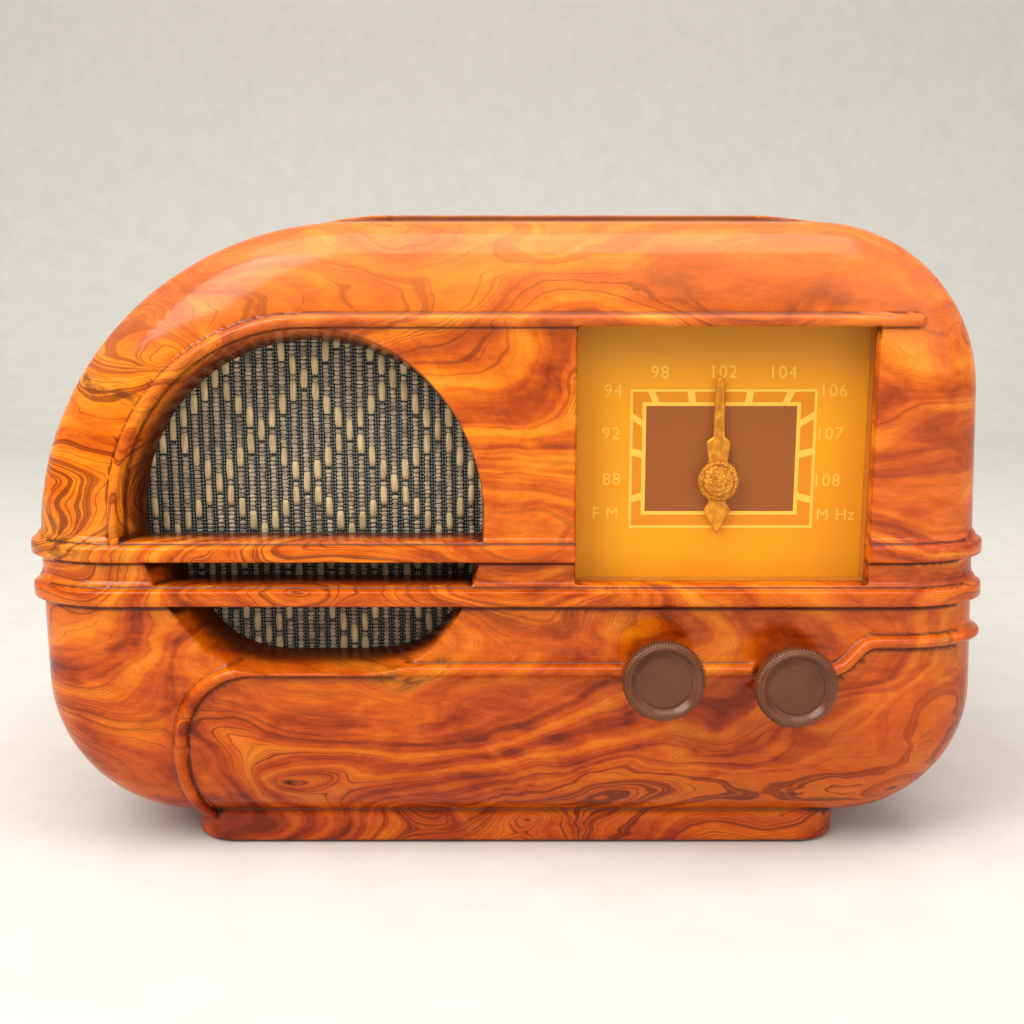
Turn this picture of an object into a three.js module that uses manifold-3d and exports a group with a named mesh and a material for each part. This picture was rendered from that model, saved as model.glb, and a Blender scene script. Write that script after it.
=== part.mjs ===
// A table radio: one glossy moulded cabinet with raised bands, a round cloth grille with two bars
// across it, a square tuning dial with a turning pointer, two knobs, and the works behind them.
// Millimetres. X is to the right, Y runs back from the front panel, Z is up.

import * as THREE from 'three';
import { mergeVertices } from 'three/addons/utils/BufferGeometryUtils.js';
import Module from 'manifold-3d';

const wasm = await Module();
wasm.setup();

// ---------- driving dimensions ----------

const GAP = 0.3; // between pieces that touch or nearly touch
const CURVE_STEPS = 6; // facets of the outline's corners, alike in the cabinet and the back cover
const WALL = 4; // cabinet wall
const DEPTH = 150; // cabinet, front panel to back rim
const PANEL_BACK = 5.5; // rear face of the front wall
const PANEL_SINK = 1.8; // how far the upper panel lies behind the roll around it
const ROLL = { wide: 28, deep: 18 }; // quarter-ellipse roll around the front edge
const PLINTH_TOP = 12.5;

// The cabinet's outline seen from the front: four corner arcs and the straight lines between them.
const LOWER_LEFT = { x: -101, z: 55, r: 46 };
const LOWER_RIGHT = { x: 105, z: 51, r: 42 };
const UPPER_RIGHT = { x: 91.2, z: 144, r: 52 };
const UPPER_LEFT = { x: -47, z: 96, r: 100 };
const ROOF = { left: -66, right: 104, rise: 2.2, front: 25, end: 14 }; // raised strip along the top

const BAND = { proud: 3, first: [94.9, 101.6], second: [81.2, 87.6] };
const TRIM = { proud: 1.4, width: 2.8, z: 167.2, left: -118.6, curve: 59, end: 120.5 };
const BEAD = { proud: 2, width: 3, z: 61, highZ: 70, stepX: 99, highX: 112 };

const GRILLE = { x: -63.2, z: 108.5, r: 55.3, depth: 16.7 };
const BAR_BACK = GRILLE.depth;
const DIAL = { left: 20, right: 108.5, bottom: 88, top: 165.4 };
const DIAL_EDGE = 3; // how far the dial's sheets reach behind the panel on each side
const DIAL_COVER = [PANEL_BACK + GAP, PANEL_BACK + GAP + 1.5]; // front and back faces
const DIAL_SPACER = [DIAL_COVER[1] + GAP, DIAL_COVER[1] + GAP + 4.6];
const DIAL_PLATE = [DIAL_SPACER[1] + GAP, DIAL_SPACER[1] + GAP + 1.5];
const POINTER_Y = [10.2, 11.2];
const HUB = { x: 63.9, z: 118.2 }; // the pointer's spindle

const VOLUME = { x: 45.9, z: 62 };
const TUNING = { x: 85.2, z: 60 };
const KNOB = { r: 12.6, front: -16, back: -1.2, bore: 6 };
const KNOB_SEAT = { r: 14.2, sink: 1.5 };
const SHAFT_R = 3;
const BUSH_R = 4.5;

const PLINTH = { left: -103, right: 107, front: 8, back: 142, leftR: 20, rightR: 12 };
const FOOT = { r: 6, proud: 0.8, sink: 1.2, inset: 13 };

const COVER_FRONT = 141.5; // front face of the back cover
const COVER_THICK = 2.5;
const INLET = { x: 78, z: 34, half: [12, 8] };
const AERIAL = { x: 30, z: 34, half: [16, 7] };
const BOSS_R = 5;
const BOSS_INSET = 8; // boss centres, in from the cabinet's outline
const PILOT_R = 1.6;
const SHANK_R = 1.3;

const BAFFLE = { r: 72, front: 18.1, thick: 4, hole: 44, screwR: 66 };
const BAFFLE_SCREW_ANGLES = [20, 160, 200, 340];
const SPEAKER = { half: 52, hole: 43, screw: 44, front: BAFFLE.front + BAFFLE.thick + GAP };

const DRUM = { r: 24, front: 16, thick: 4 };
const CORD = { thick: 1, groove: 4 };
const BRACKET = { left: 7, right: 120.5, bottom: 75, top: 158, front: 22.9, thick: 1.4 };
const BRACKET_POSTS = [[12, 150], [115.5, 80]]; // with screws
const BRACKET_PEGS = [[12, 80], [115.5, 150]]; // plain pegs that pass through the bracket
const PEG_R = 1.6;
const TUNER = { half: 25, front: 24.6, back: 60, plate: 1.5, rotorR: 18, plates: 4, pitch: 7 };
const LAMPS = { left: [32, 152], right: [98, 152] };

const BOARD = { left: -38, right: 100, front: 58, back: 132, z: 24, thick: 1.6 };
const BOARD_POSTS = [[-32, 126], [94, 64]]; // with screws
const BOARD_PEGS = [[-32, 64], [94, 126]]; // plain pegs that pass through the board

// ---------- helpers ----------

const rad = THREE.MathUtils.degToRad;

/** A closed three.js geometry as a manifold solid. */
function solid(geometry) {
  const bare = geometry.index ? geometry.clone() : geometry;
  for (const name of ['normal', 'uv']) bare.deleteAttribute(name);
  const merged = mergeVertices(bare, 1e-4);
  const index = merged.index.array;
  const kept = [];
  for (let i = 0; i < index.length; i += 3) {
    const [a, b, c] = [index[i], index[i + 1], index[i + 2]];
    if (a !== b && b !== c && c !== a) kept.push(a, b, c);
  }
  const position = merged.attributes.position;
  const [p, q, r] = [new THREE.Vector3(), new THREE.Vector3(), new THREE.Vector3()];
  let volume = 0;
  for (let i = 0; i < kept.length; i += 3) {
    p.fromBufferAttribute(position, kept[i]);
    q.fromBufferAttribute(position, kept[i + 1]);
    r.fromBufferAttribute(position, kept[i + 2]);
    volume += p.dot(q.cross(r));
  }
  if (volume < 0) kept.reverse();
  return new wasm.Manifold(new wasm.Mesh({
    numProp: 3,
    vertProperties: Float32Array.from(position.array),
    triVerts: Uint32Array.from(kept),
  }));
}

/** Joins any number of solids. */
function join(first, ...rest) {
  return rest.reduce((whole, piece) => whole.add(piece), first);
}

/** Cuts any number of solids out of the first. */
function cut(first, ...rest) {
  return rest.reduce((whole, piece) => whole.subtract(piece), first);
}

/** A manifold solid as a three.js geometry. */
function geometryOf(body) {
  const mesh = body.getMesh();
  const geometry = new THREE.BufferGeometry();
  geometry.setAttribute('position', new THREE.BufferAttribute(mesh.vertProperties, 3));
  geometry.setIndex(new THREE.BufferAttribute(mesh.triVerts, 1));
  geometry.computeVertexNormals();
  return geometry;
}

/** A shape drawn in X and Z, extruded from y0 back to y1. */
function slab(shape, y0, y1, segments = 6) {
  const geometry = new THREE.ExtrudeGeometry(shape, {
    depth: y1 - y0, bevelEnabled: false, curveSegments: segments,
  });
  return solid(geometry.rotateX(Math.PI / 2).translate(0, y1, 0));
}

/** A shape drawn in X and Y, extruded from z0 up to z1. */
function tier(shape, z0, z1, segments = 3) {
  const geometry = new THREE.ExtrudeGeometry(shape, {
    depth: z1 - z0, bevelEnabled: false, curveSegments: segments,
  });
  return solid(geometry.translate(0, 0, z0));
}

/** A box given by its low and high corners. */
function box([x0, y0, z0], [x1, y1, z1]) {
  const geometry = new THREE.BoxGeometry(x1 - x0, y1 - y0, z1 - z0);
  return solid(geometry.translate((x0 + x1) / 2, (y0 + y1) / 2, (z0 + z1) / 2));
}

/** A round bar along Y. */
function rod(x, z, radius, y0, y1, sides = 20) {
  const geometry = new THREE.CylinderGeometry(radius, radius, y1 - y0, sides);
  return solid(geometry.translate(x, (y0 + y1) / 2, z));
}

/** A round bar along Z. */
function post(x, y, radius, z0, z1, sides = 16) {
  const geometry = new THREE.CylinderGeometry(radius, radius, z1 - z0, sides);
  return solid(geometry.rotateX(Math.PI / 2).translate(x, y, (z0 + z1) / 2));
}

/** A profile of [radius, y] points turned about a line along Y through x, z. */
function turned(profile, x, z, sides = 28) {
  const points = profile.map(([r, y]) => new THREE.Vector2(r, y));
  return solid(new THREE.LatheGeometry(points, sides).translate(x, 0, z));
}

/** A rectangle with rounded corners: radii run lower left, lower right, upper right, upper left. */
function roundedRectangle(x0, y0, x1, y1, [a, b, c, d]) {
  const shape = new THREE.Shape();
  shape.absarc(x0 + a, y0 + a, a, Math.PI, 1.5 * Math.PI, false);
  shape.absarc(x1 - b, y0 + b, b, 1.5 * Math.PI, 2 * Math.PI, false);
  shape.absarc(x1 - c, y1 - c, c, 0, 0.5 * Math.PI, false);
  shape.absarc(x0 + d, y1 - d, d, 0.5 * Math.PI, Math.PI, false);
  shape.closePath();
  return shape;
}

/** A circle as a shape. */
function disc(x, z, radius) {
  return new THREE.Shape().absarc(x, z, radius, 0, 2 * Math.PI, false);
}

/** A band of even width along a path. */
function ribbon(path, width, divisions) {
  const points = path.getSpacedPoints(divisions);
  const side = (i, offset) => {
    const before = points[Math.max(i - 1, 0)];
    const after = points[Math.min(i + 1, points.length - 1)];
    const along = after.clone().sub(before).normalize();
    return new THREE.Vector2(points[i].x - along.y * offset, points[i].y + along.x * offset);
  };
  const left = points.map((_, i) => side(i, width / 2));
  const right = points.map((_, i) => side(i, -width / 2));
  return new THREE.Shape([...right, ...left.reverse()]);
}

// ---------- cabinet ----------

/** The cabinet's outline, moved inwards by inset (outwards when it is negative). */
function outline(inset) {
  const shape = new THREE.Shape();
  const corner = ({ x, z, r }, from) => {
    shape.absarc(x, z, r - inset, from * Math.PI, (from + 0.5) * Math.PI, false);
  };
  corner(LOWER_LEFT, 1);
  corner(LOWER_RIGHT, 1.5);
  corner(UPPER_RIGHT, 0);
  corner(UPPER_LEFT, 0.5);
  shape.closePath();
  return shape;
}

/** The outline run back from y0, its front edge rolled as a quarter ellipse, cut off at the back. */
function rolled(inset, y0, roll, back, steps) {
  const geometry = new THREE.ExtrudeGeometry(outline(inset), {
    depth: back, curveSegments: CURVE_STEPS,
    bevelThickness: roll.deep, bevelSize: roll.wide, bevelOffset: -roll.wide, bevelSegments: steps,
  });
  const body = solid(geometry.rotateX(Math.PI / 2).translate(0, y0 + back + roll.deep, 0));
  return body.intersect(box([-200, y0 - 1, -50], [200, back, 260]));
}

/** The cabinet's outer form grown by an amount, for what stands proud of it. */
function grown(by) {
  const roll = { wide: ROLL.wide + by, deep: ROLL.deep + by };
  return rolled(-by, -by, roll, DEPTH, 5);
}

function bands(formProud) {
  const sides = (z, x0, x1) => box([x0, -10, z[0]], [x1, DEPTH, z[1]]);
  return formProud.intersect(join(sides(BAND.first, -160, 160), sides(BAND.second, -160, 160)));
}

/** The fine line over the upper panel: up the left of the grille, round it and across the top. */
function upperTrim(form) {
  const path = new THREE.Path();
  path.moveTo(TRIM.left, BAND.first[0]);
  path.absarc(TRIM.left + TRIM.curve, TRIM.z - TRIM.curve, TRIM.curve, Math.PI, 0.5 * Math.PI, true);
  path.lineTo(TRIM.end, TRIM.z);
  const end = rod(TRIM.end, TRIM.z, TRIM.width / 2, -5, PANEL_BACK - 1, 12);
  return form.intersect(join(slab(ribbon(path, TRIM.width, 24), -5, PANEL_BACK - 1), end));
}

/** The bead that rises from the plinth at the left, runs under the knobs and steps up at the right. */
function lowerBead(form) {
  const path = new THREE.Path();
  path.moveTo(-97, 10);
  path.bezierCurveTo(-104.5, 24, -103, 44, -95, 53);
  path.bezierCurveTo(-91, 58, -84, BEAD.z, -76, BEAD.z);
  path.lineTo(BEAD.stepX, BEAD.z);
  path.bezierCurveTo(BEAD.stepX + 8, BEAD.z, BEAD.highX - 8, BEAD.highZ, BEAD.highX, BEAD.highZ);
  path.lineTo(BEAD.highX + 6, BEAD.highZ);
  const half = BEAD.width / 2;
  const side = box([BEAD.highX + 4, -10, BEAD.highZ - half], [160, DEPTH, BEAD.highZ + half]);
  return form.intersect(join(slab(ribbon(path, BEAD.width, 36), -5, 14), side));
}

/** The sunk panel around the grille and the dial, bounded by the trim. */
function panelRecess() {
  const inner = TRIM.curve;
  const shape = roundedRectangle(
    TRIM.left, BAND.second[1] - 1, TRIM.end, TRIM.z, [1, 1, 3, inner],
  );
  return slab(shape, -5, PANEL_SINK, 8);
}

/** Posts, rims and bosses that grow from the inside of the cabinet. */
function insides() {
  const grilleRim = slab(disc(GRILLE.x, GRILLE.z, GRILLE.r + WALL), PANEL_BACK - 1, GRILLE.depth, 14);
  const bosses = backScrewPlaces().map(([x, z]) => rod(x, z, BOSS_R, 110, COVER_FRONT - GAP, 10));
  const baffleBosses = baffleScrewPlaces().map(([x, z]) => rod(x, z, 4, 4, BAFFLE.front - GAP, 8));
  const bracketPosts = [...BRACKET_POSTS, ...BRACKET_PEGS].map(([x, z]) => (
    rod(x, z, 3.4, 4, BRACKET.front - GAP, 8)
  ));
  const boardPosts = [...BOARD_POSTS, ...BOARD_PEGS].map(([x, y]) => (
    post(x, y, 3.5, 2, BOARD.z - GAP, 8)
  ));
  const pegs = [
    ...BRACKET_PEGS.map(([x, z]) => rod(x, z, PEG_R, 10, BRACKET.front + BRACKET.thick + 1, 8)),
    ...BOARD_PEGS.map(([x, y]) => post(x, y, PEG_R, 10, BOARD.z + BOARD.thick + 1, 8)),
  ];
  return join(grilleRim, ...bosses, ...baffleBosses, ...bracketPosts, ...boardPosts, ...pegs);
}

function backScrewPlaces() {
  const at = ({ x, z, r }, degrees) => [
    x + (r - BOSS_INSET) * Math.cos(rad(degrees)),
    z + (r - BOSS_INSET) * Math.sin(rad(degrees)),
  ];
  return [
    at(LOWER_LEFT, 225), at(LOWER_RIGHT, 315), at(UPPER_RIGHT, 45), at(UPPER_LEFT, 135),
  ];
}

function baffleScrewPlaces() {
  return BAFFLE_SCREW_ANGLES.map((degrees) => [
    GRILLE.x + BAFFLE.screwR * Math.cos(rad(degrees)),
    GRILLE.z + BAFFLE.screwR * Math.sin(rad(degrees)),
  ]);
}

function footPlaces() {
  const { left, right, front, back } = PLINTH;
  const { inset } = FOOT;
  return [
    [left + inset + 4, front + inset], [right - inset, front + inset],
    [left + inset + 4, back - inset], [right - inset, back - inset],
  ];
}

function plinthPlan(inset) {
  const { left, right, front, back, leftR, rightR } = PLINTH;
  return roundedRectangle(
    left + inset, front + inset, right - inset, back - inset,
    [leftR - inset, rightR - inset, rightR - inset, leftR - inset],
  );
}

function cabinet() {
  const form = rolled(0, 0, ROLL, DEPTH, 5);
  const proudForm = grown(BAND.proud);
  const beadForm = grown(BEAD.proud);
  const trimForm = grown(TRIM.proud);

  const top = UPPER_RIGHT.z + UPPER_RIGHT.r;
  const roofShape = new THREE.Shape();
  roofShape.moveTo(ROOF.left, top - 4);
  roofShape.lineTo(ROOF.left, top - 1.8);
  const crest = top + ROOF.rise;
  roofShape.quadraticCurveTo(ROOF.left + ROOF.end, crest, ROOF.left + 2 * ROOF.end, crest);
  roofShape.lineTo(ROOF.right - 2 * ROOF.end, crest);
  roofShape.quadraticCurveTo(ROOF.right - ROOF.end, crest, ROOF.right, top - 1.8);
  roofShape.lineTo(ROOF.right, top - 4);
  const roof = slab(roofShape, ROOF.front, DEPTH, 5);

  const hollow = rolled(WALL, PANEL_BACK, { wide: 20, deep: 12 }, DEPTH + 5, 2);
  const plinthHollow = tier(plinthPlan(WALL), WALL, PLINTH_TOP + 8);
  const grilleHole = slab(disc(GRILLE.x, GRILLE.z, GRILLE.r), -10, GRILLE.depth + 1, 14);
  const dialHole = box([DIAL.left, -10, DIAL.bottom], [DIAL.right, 20, DIAL.top]);
  const dialPocket = box(
    [DIAL.left - DIAL_EDGE - GAP, PANEL_BACK, DIAL.bottom - DIAL_EDGE - GAP],
    [DIAL.right + DIAL_EDGE + GAP, 22, DIAL.top + DIAL_EDGE + GAP],
  );

  let shell = join(form, roof, tier(plinthPlan(0), 0, PLINTH_TOP + 4, 4));
  shell = cut(shell, hollow, plinthHollow, panelRecess());
  shell = join(shell, bands(proudForm), upperTrim(trimForm), lowerBead(beadForm));
  shell = cut(shell, hollow);
  shell = join(shell, insides());
  shell = cut(shell, grilleHole, dialHole, dialPocket);

  const inGrille = slab(disc(GRILLE.x, GRILLE.z, GRILLE.r + 1), -BAND.proud, BAR_BACK, 14);
  const bar = (z) => box([-160, -BAND.proud, z[0]], [0, BAR_BACK, z[1]]);
  shell = join(shell, inGrille.intersect(join(bar(BAND.first), bar(BAND.second))));

  const seats = [VOLUME, TUNING].map(({ x, z }) => rod(x, z, KNOB_SEAT.r, -10, KNOB_SEAT.sink, 24));
  const bushHoles = [VOLUME, TUNING].map(({ x, z }) => rod(x, z, BUSH_R + GAP, -10, 12, 20));
  const pilots = [
    ...backScrewPlaces().map(([x, z]) => rod(x, z, PILOT_R, 125, COVER_FRONT + 2, 8)),
    ...baffleScrewPlaces().map(([x, z]) => rod(x, z, PILOT_R, 9, 20, 8)),
    ...BRACKET_POSTS.map(([x, z]) => rod(x, z, PILOT_R, 12, 26, 8)),
    ...BOARD_POSTS.map(([x, y]) => post(x, y, PILOT_R, 14, BOARD.z + 2, 8)),
  ];
  const footSeats = footPlaces().map(([x, y]) => post(x, y, FOOT.r + GAP, -5, FOOT.sink, 14));
  return cut(shell, ...seats, ...bushHoles, ...pilots, ...footSeats);
}

// ---------- back ----------

function backCover() {
  const back = COVER_FRONT + COVER_THICK;
  const sheet = slab(outline(WALL + GAP), COVER_FRONT, back, CURVE_STEPS);
  const slots = [];
  for (const x0 of [-102, 24]) {
    for (let column = 0; column < 7; column += 1) {
      const x = x0 + 11 * column;
      slots.push(box([x, COVER_FRONT - 5, 80], [x + 4.5, back + 5, 138]));
    }
  }
  const holes = backScrewPlaces().map(([x, z]) => rod(x, z, 1.9, COVER_FRONT - 5, back + 5, 8));
  const windows = [INLET, AERIAL].map(({ x, z, half }) => box(
    [x - half[0] - GAP, COVER_FRONT - 5, z - half[1] - GAP],
    [x + half[0] + GAP, back + 5, z + half[1] + GAP],
  ));
  return cut(sheet, ...slots, ...holes, ...windows);
}

/** A pan-head screw whose head sits on the face at y, its shank pointing to the front. */
function panScrew(x, z, y, length, headR = 3.2) {
  return turned([
    [0, y - length], [SHANK_R, y - length + 1.5], [SHANK_R, y],
    [headR, y], [headR, y + 0.9], [0, y + 2],
  ], x, z, 8);
}

/** A pan-head screw pointing down, its head on the level z. */
function boardScrew(x, y, z, length) {
  const geometry = new THREE.LatheGeometry([
    new THREE.Vector2(0, -length), new THREE.Vector2(SHANK_R, -length + 1),
    new THREE.Vector2(SHANK_R, 0), new THREE.Vector2(2.8, 0),
    new THREE.Vector2(2.6, 1.2), new THREE.Vector2(0, 1.8),
  ], 8);
  return solid(geometry.rotateX(Math.PI / 2).translate(x, y, z));
}

/** A two-pin mains socket set in the back cover. */
function mainsInlet() {
  const { x, z, half: [w, h] } = INLET;
  const back = COVER_FRONT + COVER_THICK;
  const body = join(
    box([x - w, 124, z - h], [x + w, back + 1.5, z + h]),
    box([x - w - 3, back + GAP, z - h - 3], [x + w + 3, back + 2.5, z + h + 3]),
  );
  const well = slab(roundedRectangle(x - 8.5, z - 4.5, x + 8.5, z + 4.5, [4, 4, 4, 4]), 132, back + 9, 3);
  const pins = [-3.8, 3.8].map((dx) => rod(x + dx, z, 1.2, 130, back, 12));
  return join(cut(body, well), ...pins);
}

/** The block that takes the aerial and earth wires, with its two thumb nuts as round studs. */
function aerialBlock() {
  const { x, z, half: [w, h] } = AERIAL;
  const back = COVER_FRONT + COVER_THICK;
  const block = join(
    box([x - w, 132, z - h], [x + w, back + 1, z + h]),
    box([x - w - 3, back + GAP, z - h - 2], [x + w + 3, back + 1.6, z + h + 2]),
  );
  const studs = [-8, 8].map((dx) => rod(x + dx, z, 3.6, back, back + 5, 16));
  return join(block, ...studs);
}

// ---------- grille and loudspeaker ----------

function grilleCloth() {
  return slab(disc(GRILLE.x, GRILLE.z, GRILLE.r + 3), GRILLE.depth + GAP, BAFFLE.front - GAP, 14);
}

function baffleBoard() {
  const back = BAFFLE.front + BAFFLE.thick;
  const board = slab(disc(GRILLE.x, GRILLE.z, BAFFLE.r), BAFFLE.front, back, 14);
  const mouth = rod(GRILLE.x, GRILLE.z, BAFFLE.hole, 10, 40, 28);
  const holes = baffleScrewPlaces().map(([x, z]) => rod(x, z, 1.9, 10, 40, 8));
  const pilots = speakerScrewPlaces().map(([x, z]) => rod(x, z, PILOT_R, 10, 40, 8));
  return cut(board, mouth, ...holes, ...pilots);
}

function speakerScrewPlaces() {
  const s = SPEAKER.screw;
  return [[-s, -s], [s, -s], [s, s], [-s, s]].map(([dx, dz]) => [GRILLE.x + dx, GRILLE.z + dz]);
}

function speakerBasket() {
  const f = SPEAKER.front;
  const { x, z } = GRILLE;
  const square = roundedRectangle(
    x - SPEAKER.half, z - SPEAKER.half, x + SPEAKER.half, z + SPEAKER.half, [8, 8, 8, 8],
  );
  const flange = cut(slab(square, f, f + 1.5, 3), rod(x, z, SPEAKER.hole, f - 5, f + 5, 24));
  const cup = turned([
    [SPEAKER.hole, f], [SPEAKER.hole + 2, f], [SPEAKER.hole + 2, f + 3], [27, f + 25],
    [27, f + 27], [12, f + 27], [12, f + 25.4], [25.2, f + 25.4], [SPEAKER.hole, f + 3.4],
    [SPEAKER.hole, f],
  ], x, z, 24);
  const windows = [0, 1, 2, 3].map((turn) => {
    const opening = new THREE.BoxGeometry(28, 15, 60).translate(0, f + 14, 50);
    return solid(opening.rotateY(rad(90 * turn)).translate(x, 0, z));
  });
  const holes = speakerScrewPlaces().map(([sx, sz]) => rod(sx, sz, 1.9, f - 5, f + 5, 8));
  return cut(join(flange, cup), ...windows, ...holes);
}

function speakerCone() {
  const f = SPEAKER.front;
  return turned([
    [42.4, f + 0.4], [42.4, f + 1.4], [39, f + 1.8], [14, f + 20], [11.5, f + 20],
    [11.5, f + 19], [13.6, f + 19], [38.4, f + 0.9], [42.4, f + 0.4],
  ], GRILLE.x, GRILLE.z, 24);
}

function speakerDustCap() {
  const f = SPEAKER.front;
  return turned([
    [0, f + 12.5], [6, f + 13.3], [10, f + 15.2], [13, f + 18.7], [12, f + 18.7], [9, f + 16],
    [5, f + 14.3], [0, f + 13.5],
  ], GRILLE.x, GRILLE.z, 20);
}

function speakerMagnet() {
  const f = SPEAKER.front + 27 + GAP;
  return turned([[14, f], [30, f], [30, f + 11], [14, f + 11], [14, f]], GRILLE.x, GRILLE.z, 28);
}

/** Steel plate behind the magnet, with the pole that reaches through it into the voice coil. */
function speakerYoke() {
  const f = SPEAKER.front + 27 + GAP;
  return turned([
    [0, f - 8], [10, f - 8], [10, f + 11 + GAP], [28, f + 11 + GAP], [28, f + 15], [0, f + 15],
  ], GRILLE.x, GRILLE.z, 28);
}

// ---------- dial ----------

function dialSheet(y0, y1, edge) {
  return box(
    [DIAL.left - edge, y0, DIAL.bottom - edge],
    [DIAL.right + edge, y1, DIAL.top + edge],
  );
}

function dialSpacer() {
  const [y0, y1] = DIAL_SPACER;
  return cut(dialSheet(y0, y1, DIAL_EDGE), dialSheet(y0 - 1, y1 + 1, 0.5));
}

function dialPlate() {
  const [y0, y1] = DIAL_PLATE;
  return cut(dialSheet(y0, y1, DIAL_EDGE), rod(HUB.x, HUB.z, SHAFT_R + 0.7, 5, 20, 16));
}

/** A flat hand: slim blade with a shouldered collar, and a spade-shaped tail. */
function pointer() {
  const half = [
    [4.2, -6.5], [4.2, -8.2], [0.2, -16.4], [0, -16.4],
  ];
  const upper = [[0, 32], [0.5, 31.6], [1.5, 28], [1.6, 13.4], [3.7, 11.5], [2.8, 5]];
  const right = [...upper, [4.6, 3], [4.6, -3], [2.8, -5], ...half];
  const left = right.slice(1, -1).reverse().map(([x, z]) => [-x, z]);
  const points = [...right, ...left].map(([x, z]) => new THREE.Vector2(HUB.x + x, HUB.z + z));
  const hand = slab(new THREE.Shape(points.reverse()), ...POINTER_Y);
  return cut(hand, rod(HUB.x, HUB.z, SHAFT_R + GAP, 5, 20));
}

function hubCap() {
  const y = POINTER_Y[0] - GAP;
  return turned([
    [0, y - 2.2], [3.6, y - 2.1], [4.5, y - 1.6], [5, y - 1.7], [6.3, y - 0.9], [6.4, y],
    [0, y],
  ], HUB.x, HUB.z, 28);
}

// ---------- tuning works ----------

function tuningSpindle() {
  return rod(HUB.x, HUB.z, SHAFT_R, POINTER_Y[0] - GAP / 2 + 0.1, TUNER.back + 4, 24);
}

/** A grooved wheel for the dial cord. */
function cordDrum() {
  const y = DRUM.front;
  const t = DRUM.thick;
  const rim = DRUM.r + 1.6;
  return turned([
    [SHAFT_R + GAP, y], [rim, y], [rim, y + 1], [DRUM.r, y + 1.2], [DRUM.r, y + t - 1.2],
    [rim, y + t - 1], [rim, y + t], [SHAFT_R + GAP, y + t], [SHAFT_R + GAP, y],
  ], HUB.x, HUB.z, 30);
}

/** The cord, drawn as one loop round the drum and the tuning shaft. */
function dialCord() {
  const dx = TUNING.x - HUB.x;
  const dz = TUNING.z - HUB.z;
  const apart = Math.hypot(dx, dz);
  const towards = Math.atan2(dz, dx);
  const loop = (big, small) => {
    const open = Math.acos((big - small) / apart);
    const path = new THREE.Shape();
    path.absarc(HUB.x, HUB.z, big, towards + open, towards - open + 2 * Math.PI, false);
    path.absarc(TUNING.x, TUNING.z, small, towards - open, towards + open, false);
    path.closePath();
    return path;
  };
  const y0 = DRUM.front + DRUM.thick / 2 - CORD.thick / 2;
  const near = loop(DRUM.r + GAP, CORD.groove + GAP);
  const far = loop(DRUM.r + GAP + CORD.thick, CORD.groove + GAP + CORD.thick);
  return cut(slab(far, y0, y0 + CORD.thick, 8), slab(near, y0 - 1, y0 + CORD.thick + 1, 8));
}

function bracket() {
  const { left, right, bottom, top, front, thick } = BRACKET;
  const plate = slab(
    roundedRectangle(left, bottom, right, top, [4, 4, 4, 4]), front, front + thick, 2,
  );
  const holes = [...BRACKET_POSTS, ...BRACKET_PEGS].map(([x, z]) => (
    rod(x, z, 1.9, front - 5, front + 5, 8)
  ));
  const lampHoles = Object.values(LAMPS).map(([x, z]) => rod(x, z, 5, front - 5, front + 5, 16));
  return cut(plate, rod(HUB.x, HUB.z, SHAFT_R + 1, front - 5, front + 5), ...holes, ...lampHoles);
}

/** Open frame of the tuning capacitor: two end plates and a floor. */
function tunerFrame() {
  const { half, front, back, plate } = TUNER;
  const { x, z } = HUB;
  const bearing = rod(x, z, SHAFT_R + 0.05, front - 5, back + 5, 24);
  const wall = (y) => box([x - half, y, z - half], [x + half, y + plate, z + half]);
  const floor = box([x - half, front, z - half], [x + half, back, z - half + plate]);
  return cut(join(wall(front), wall(back - plate), floor), bearing);
}

/** Where the capacitor's vanes stand along the spindle. */
function platePlaces(count) {
  const middle = (TUNER.front + TUNER.back) / 2;
  return Array.from({ length: count }, (_, i) => middle + (i - (count - 1) / 2) * TUNER.pitch);
}

/** A half ring, its round side towards the given angle. */
function halfRing(inner, outer, towards) {
  const shape = new THREE.Shape();
  const from = rad(towards - 88);
  const to = rad(towards + 88);
  shape.absarc(HUB.x, HUB.z, outer, from, to, false);
  shape.absarc(HUB.x, HUB.z, inner, to, from, true);
  shape.closePath();
  return shape;
}

/** Moving vanes: half discs on a sleeve that turns with the spindle. */
function tunerRotor() {
  const { rotorR, plates } = TUNER;
  const places = platePlaces(plates);
  const vanes = places.map((y) => slab(halfRing(4, rotorR, 0), y - 0.5, y + 0.5, 5));
  const sleeve = rod(HUB.x, HUB.z, 5, places[0] - 2, places[plates - 1] + 2, 24);
  return cut(join(sleeve, ...vanes), rod(HUB.x, HUB.z, SHAFT_R + GAP, 20, 70, 24));
}

/** Fixed vanes between the moving ones, held by two bars clear of the rotor. */
function tunerStator() {
  const { rotorR, plates } = TUNER;
  const places = platePlaces(plates - 1);
  const vanes = places.map((y) => slab(halfRing(6.5, rotorR + 4, 270), y - 0.5, y + 0.5, 5));
  const bar = (degrees) => {
    const r = rotorR + 2.6;
    const x = HUB.x + r * Math.cos(rad(degrees));
    const z = HUB.z + r * Math.sin(rad(degrees));
    return rod(x, z, 1.2, places[0] - 2, places[plates - 2] + 2, 12);
  };
  return join(bar(215), bar(325), ...vanes);
}

function lampHolder([x, z]) {
  const y = BRACKET.front;
  const collar = y + BRACKET.thick + GAP;
  return join(
    turned([[0, y - 1.2], [4.6, y - 1.2], [4.6, y + 9], [0, y + 9]], x, z, 20),
    turned([[0, collar], [6.4, collar], [6.4, y + 3.4], [0, y + 3.4]], x, z, 20),
  );
}

function lampBulb([x, z]) {
  const y = BRACKET.front - 1.2 - GAP;
  return turned([
    [0, y - 6.2], [1.8, y - 5.7], [2.8, y - 4.2], [2.9, y - 2.4], [2, y - 0.8], [2, y], [0, y],
  ], x, z, 20);
}

// ---------- controls ----------

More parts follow.
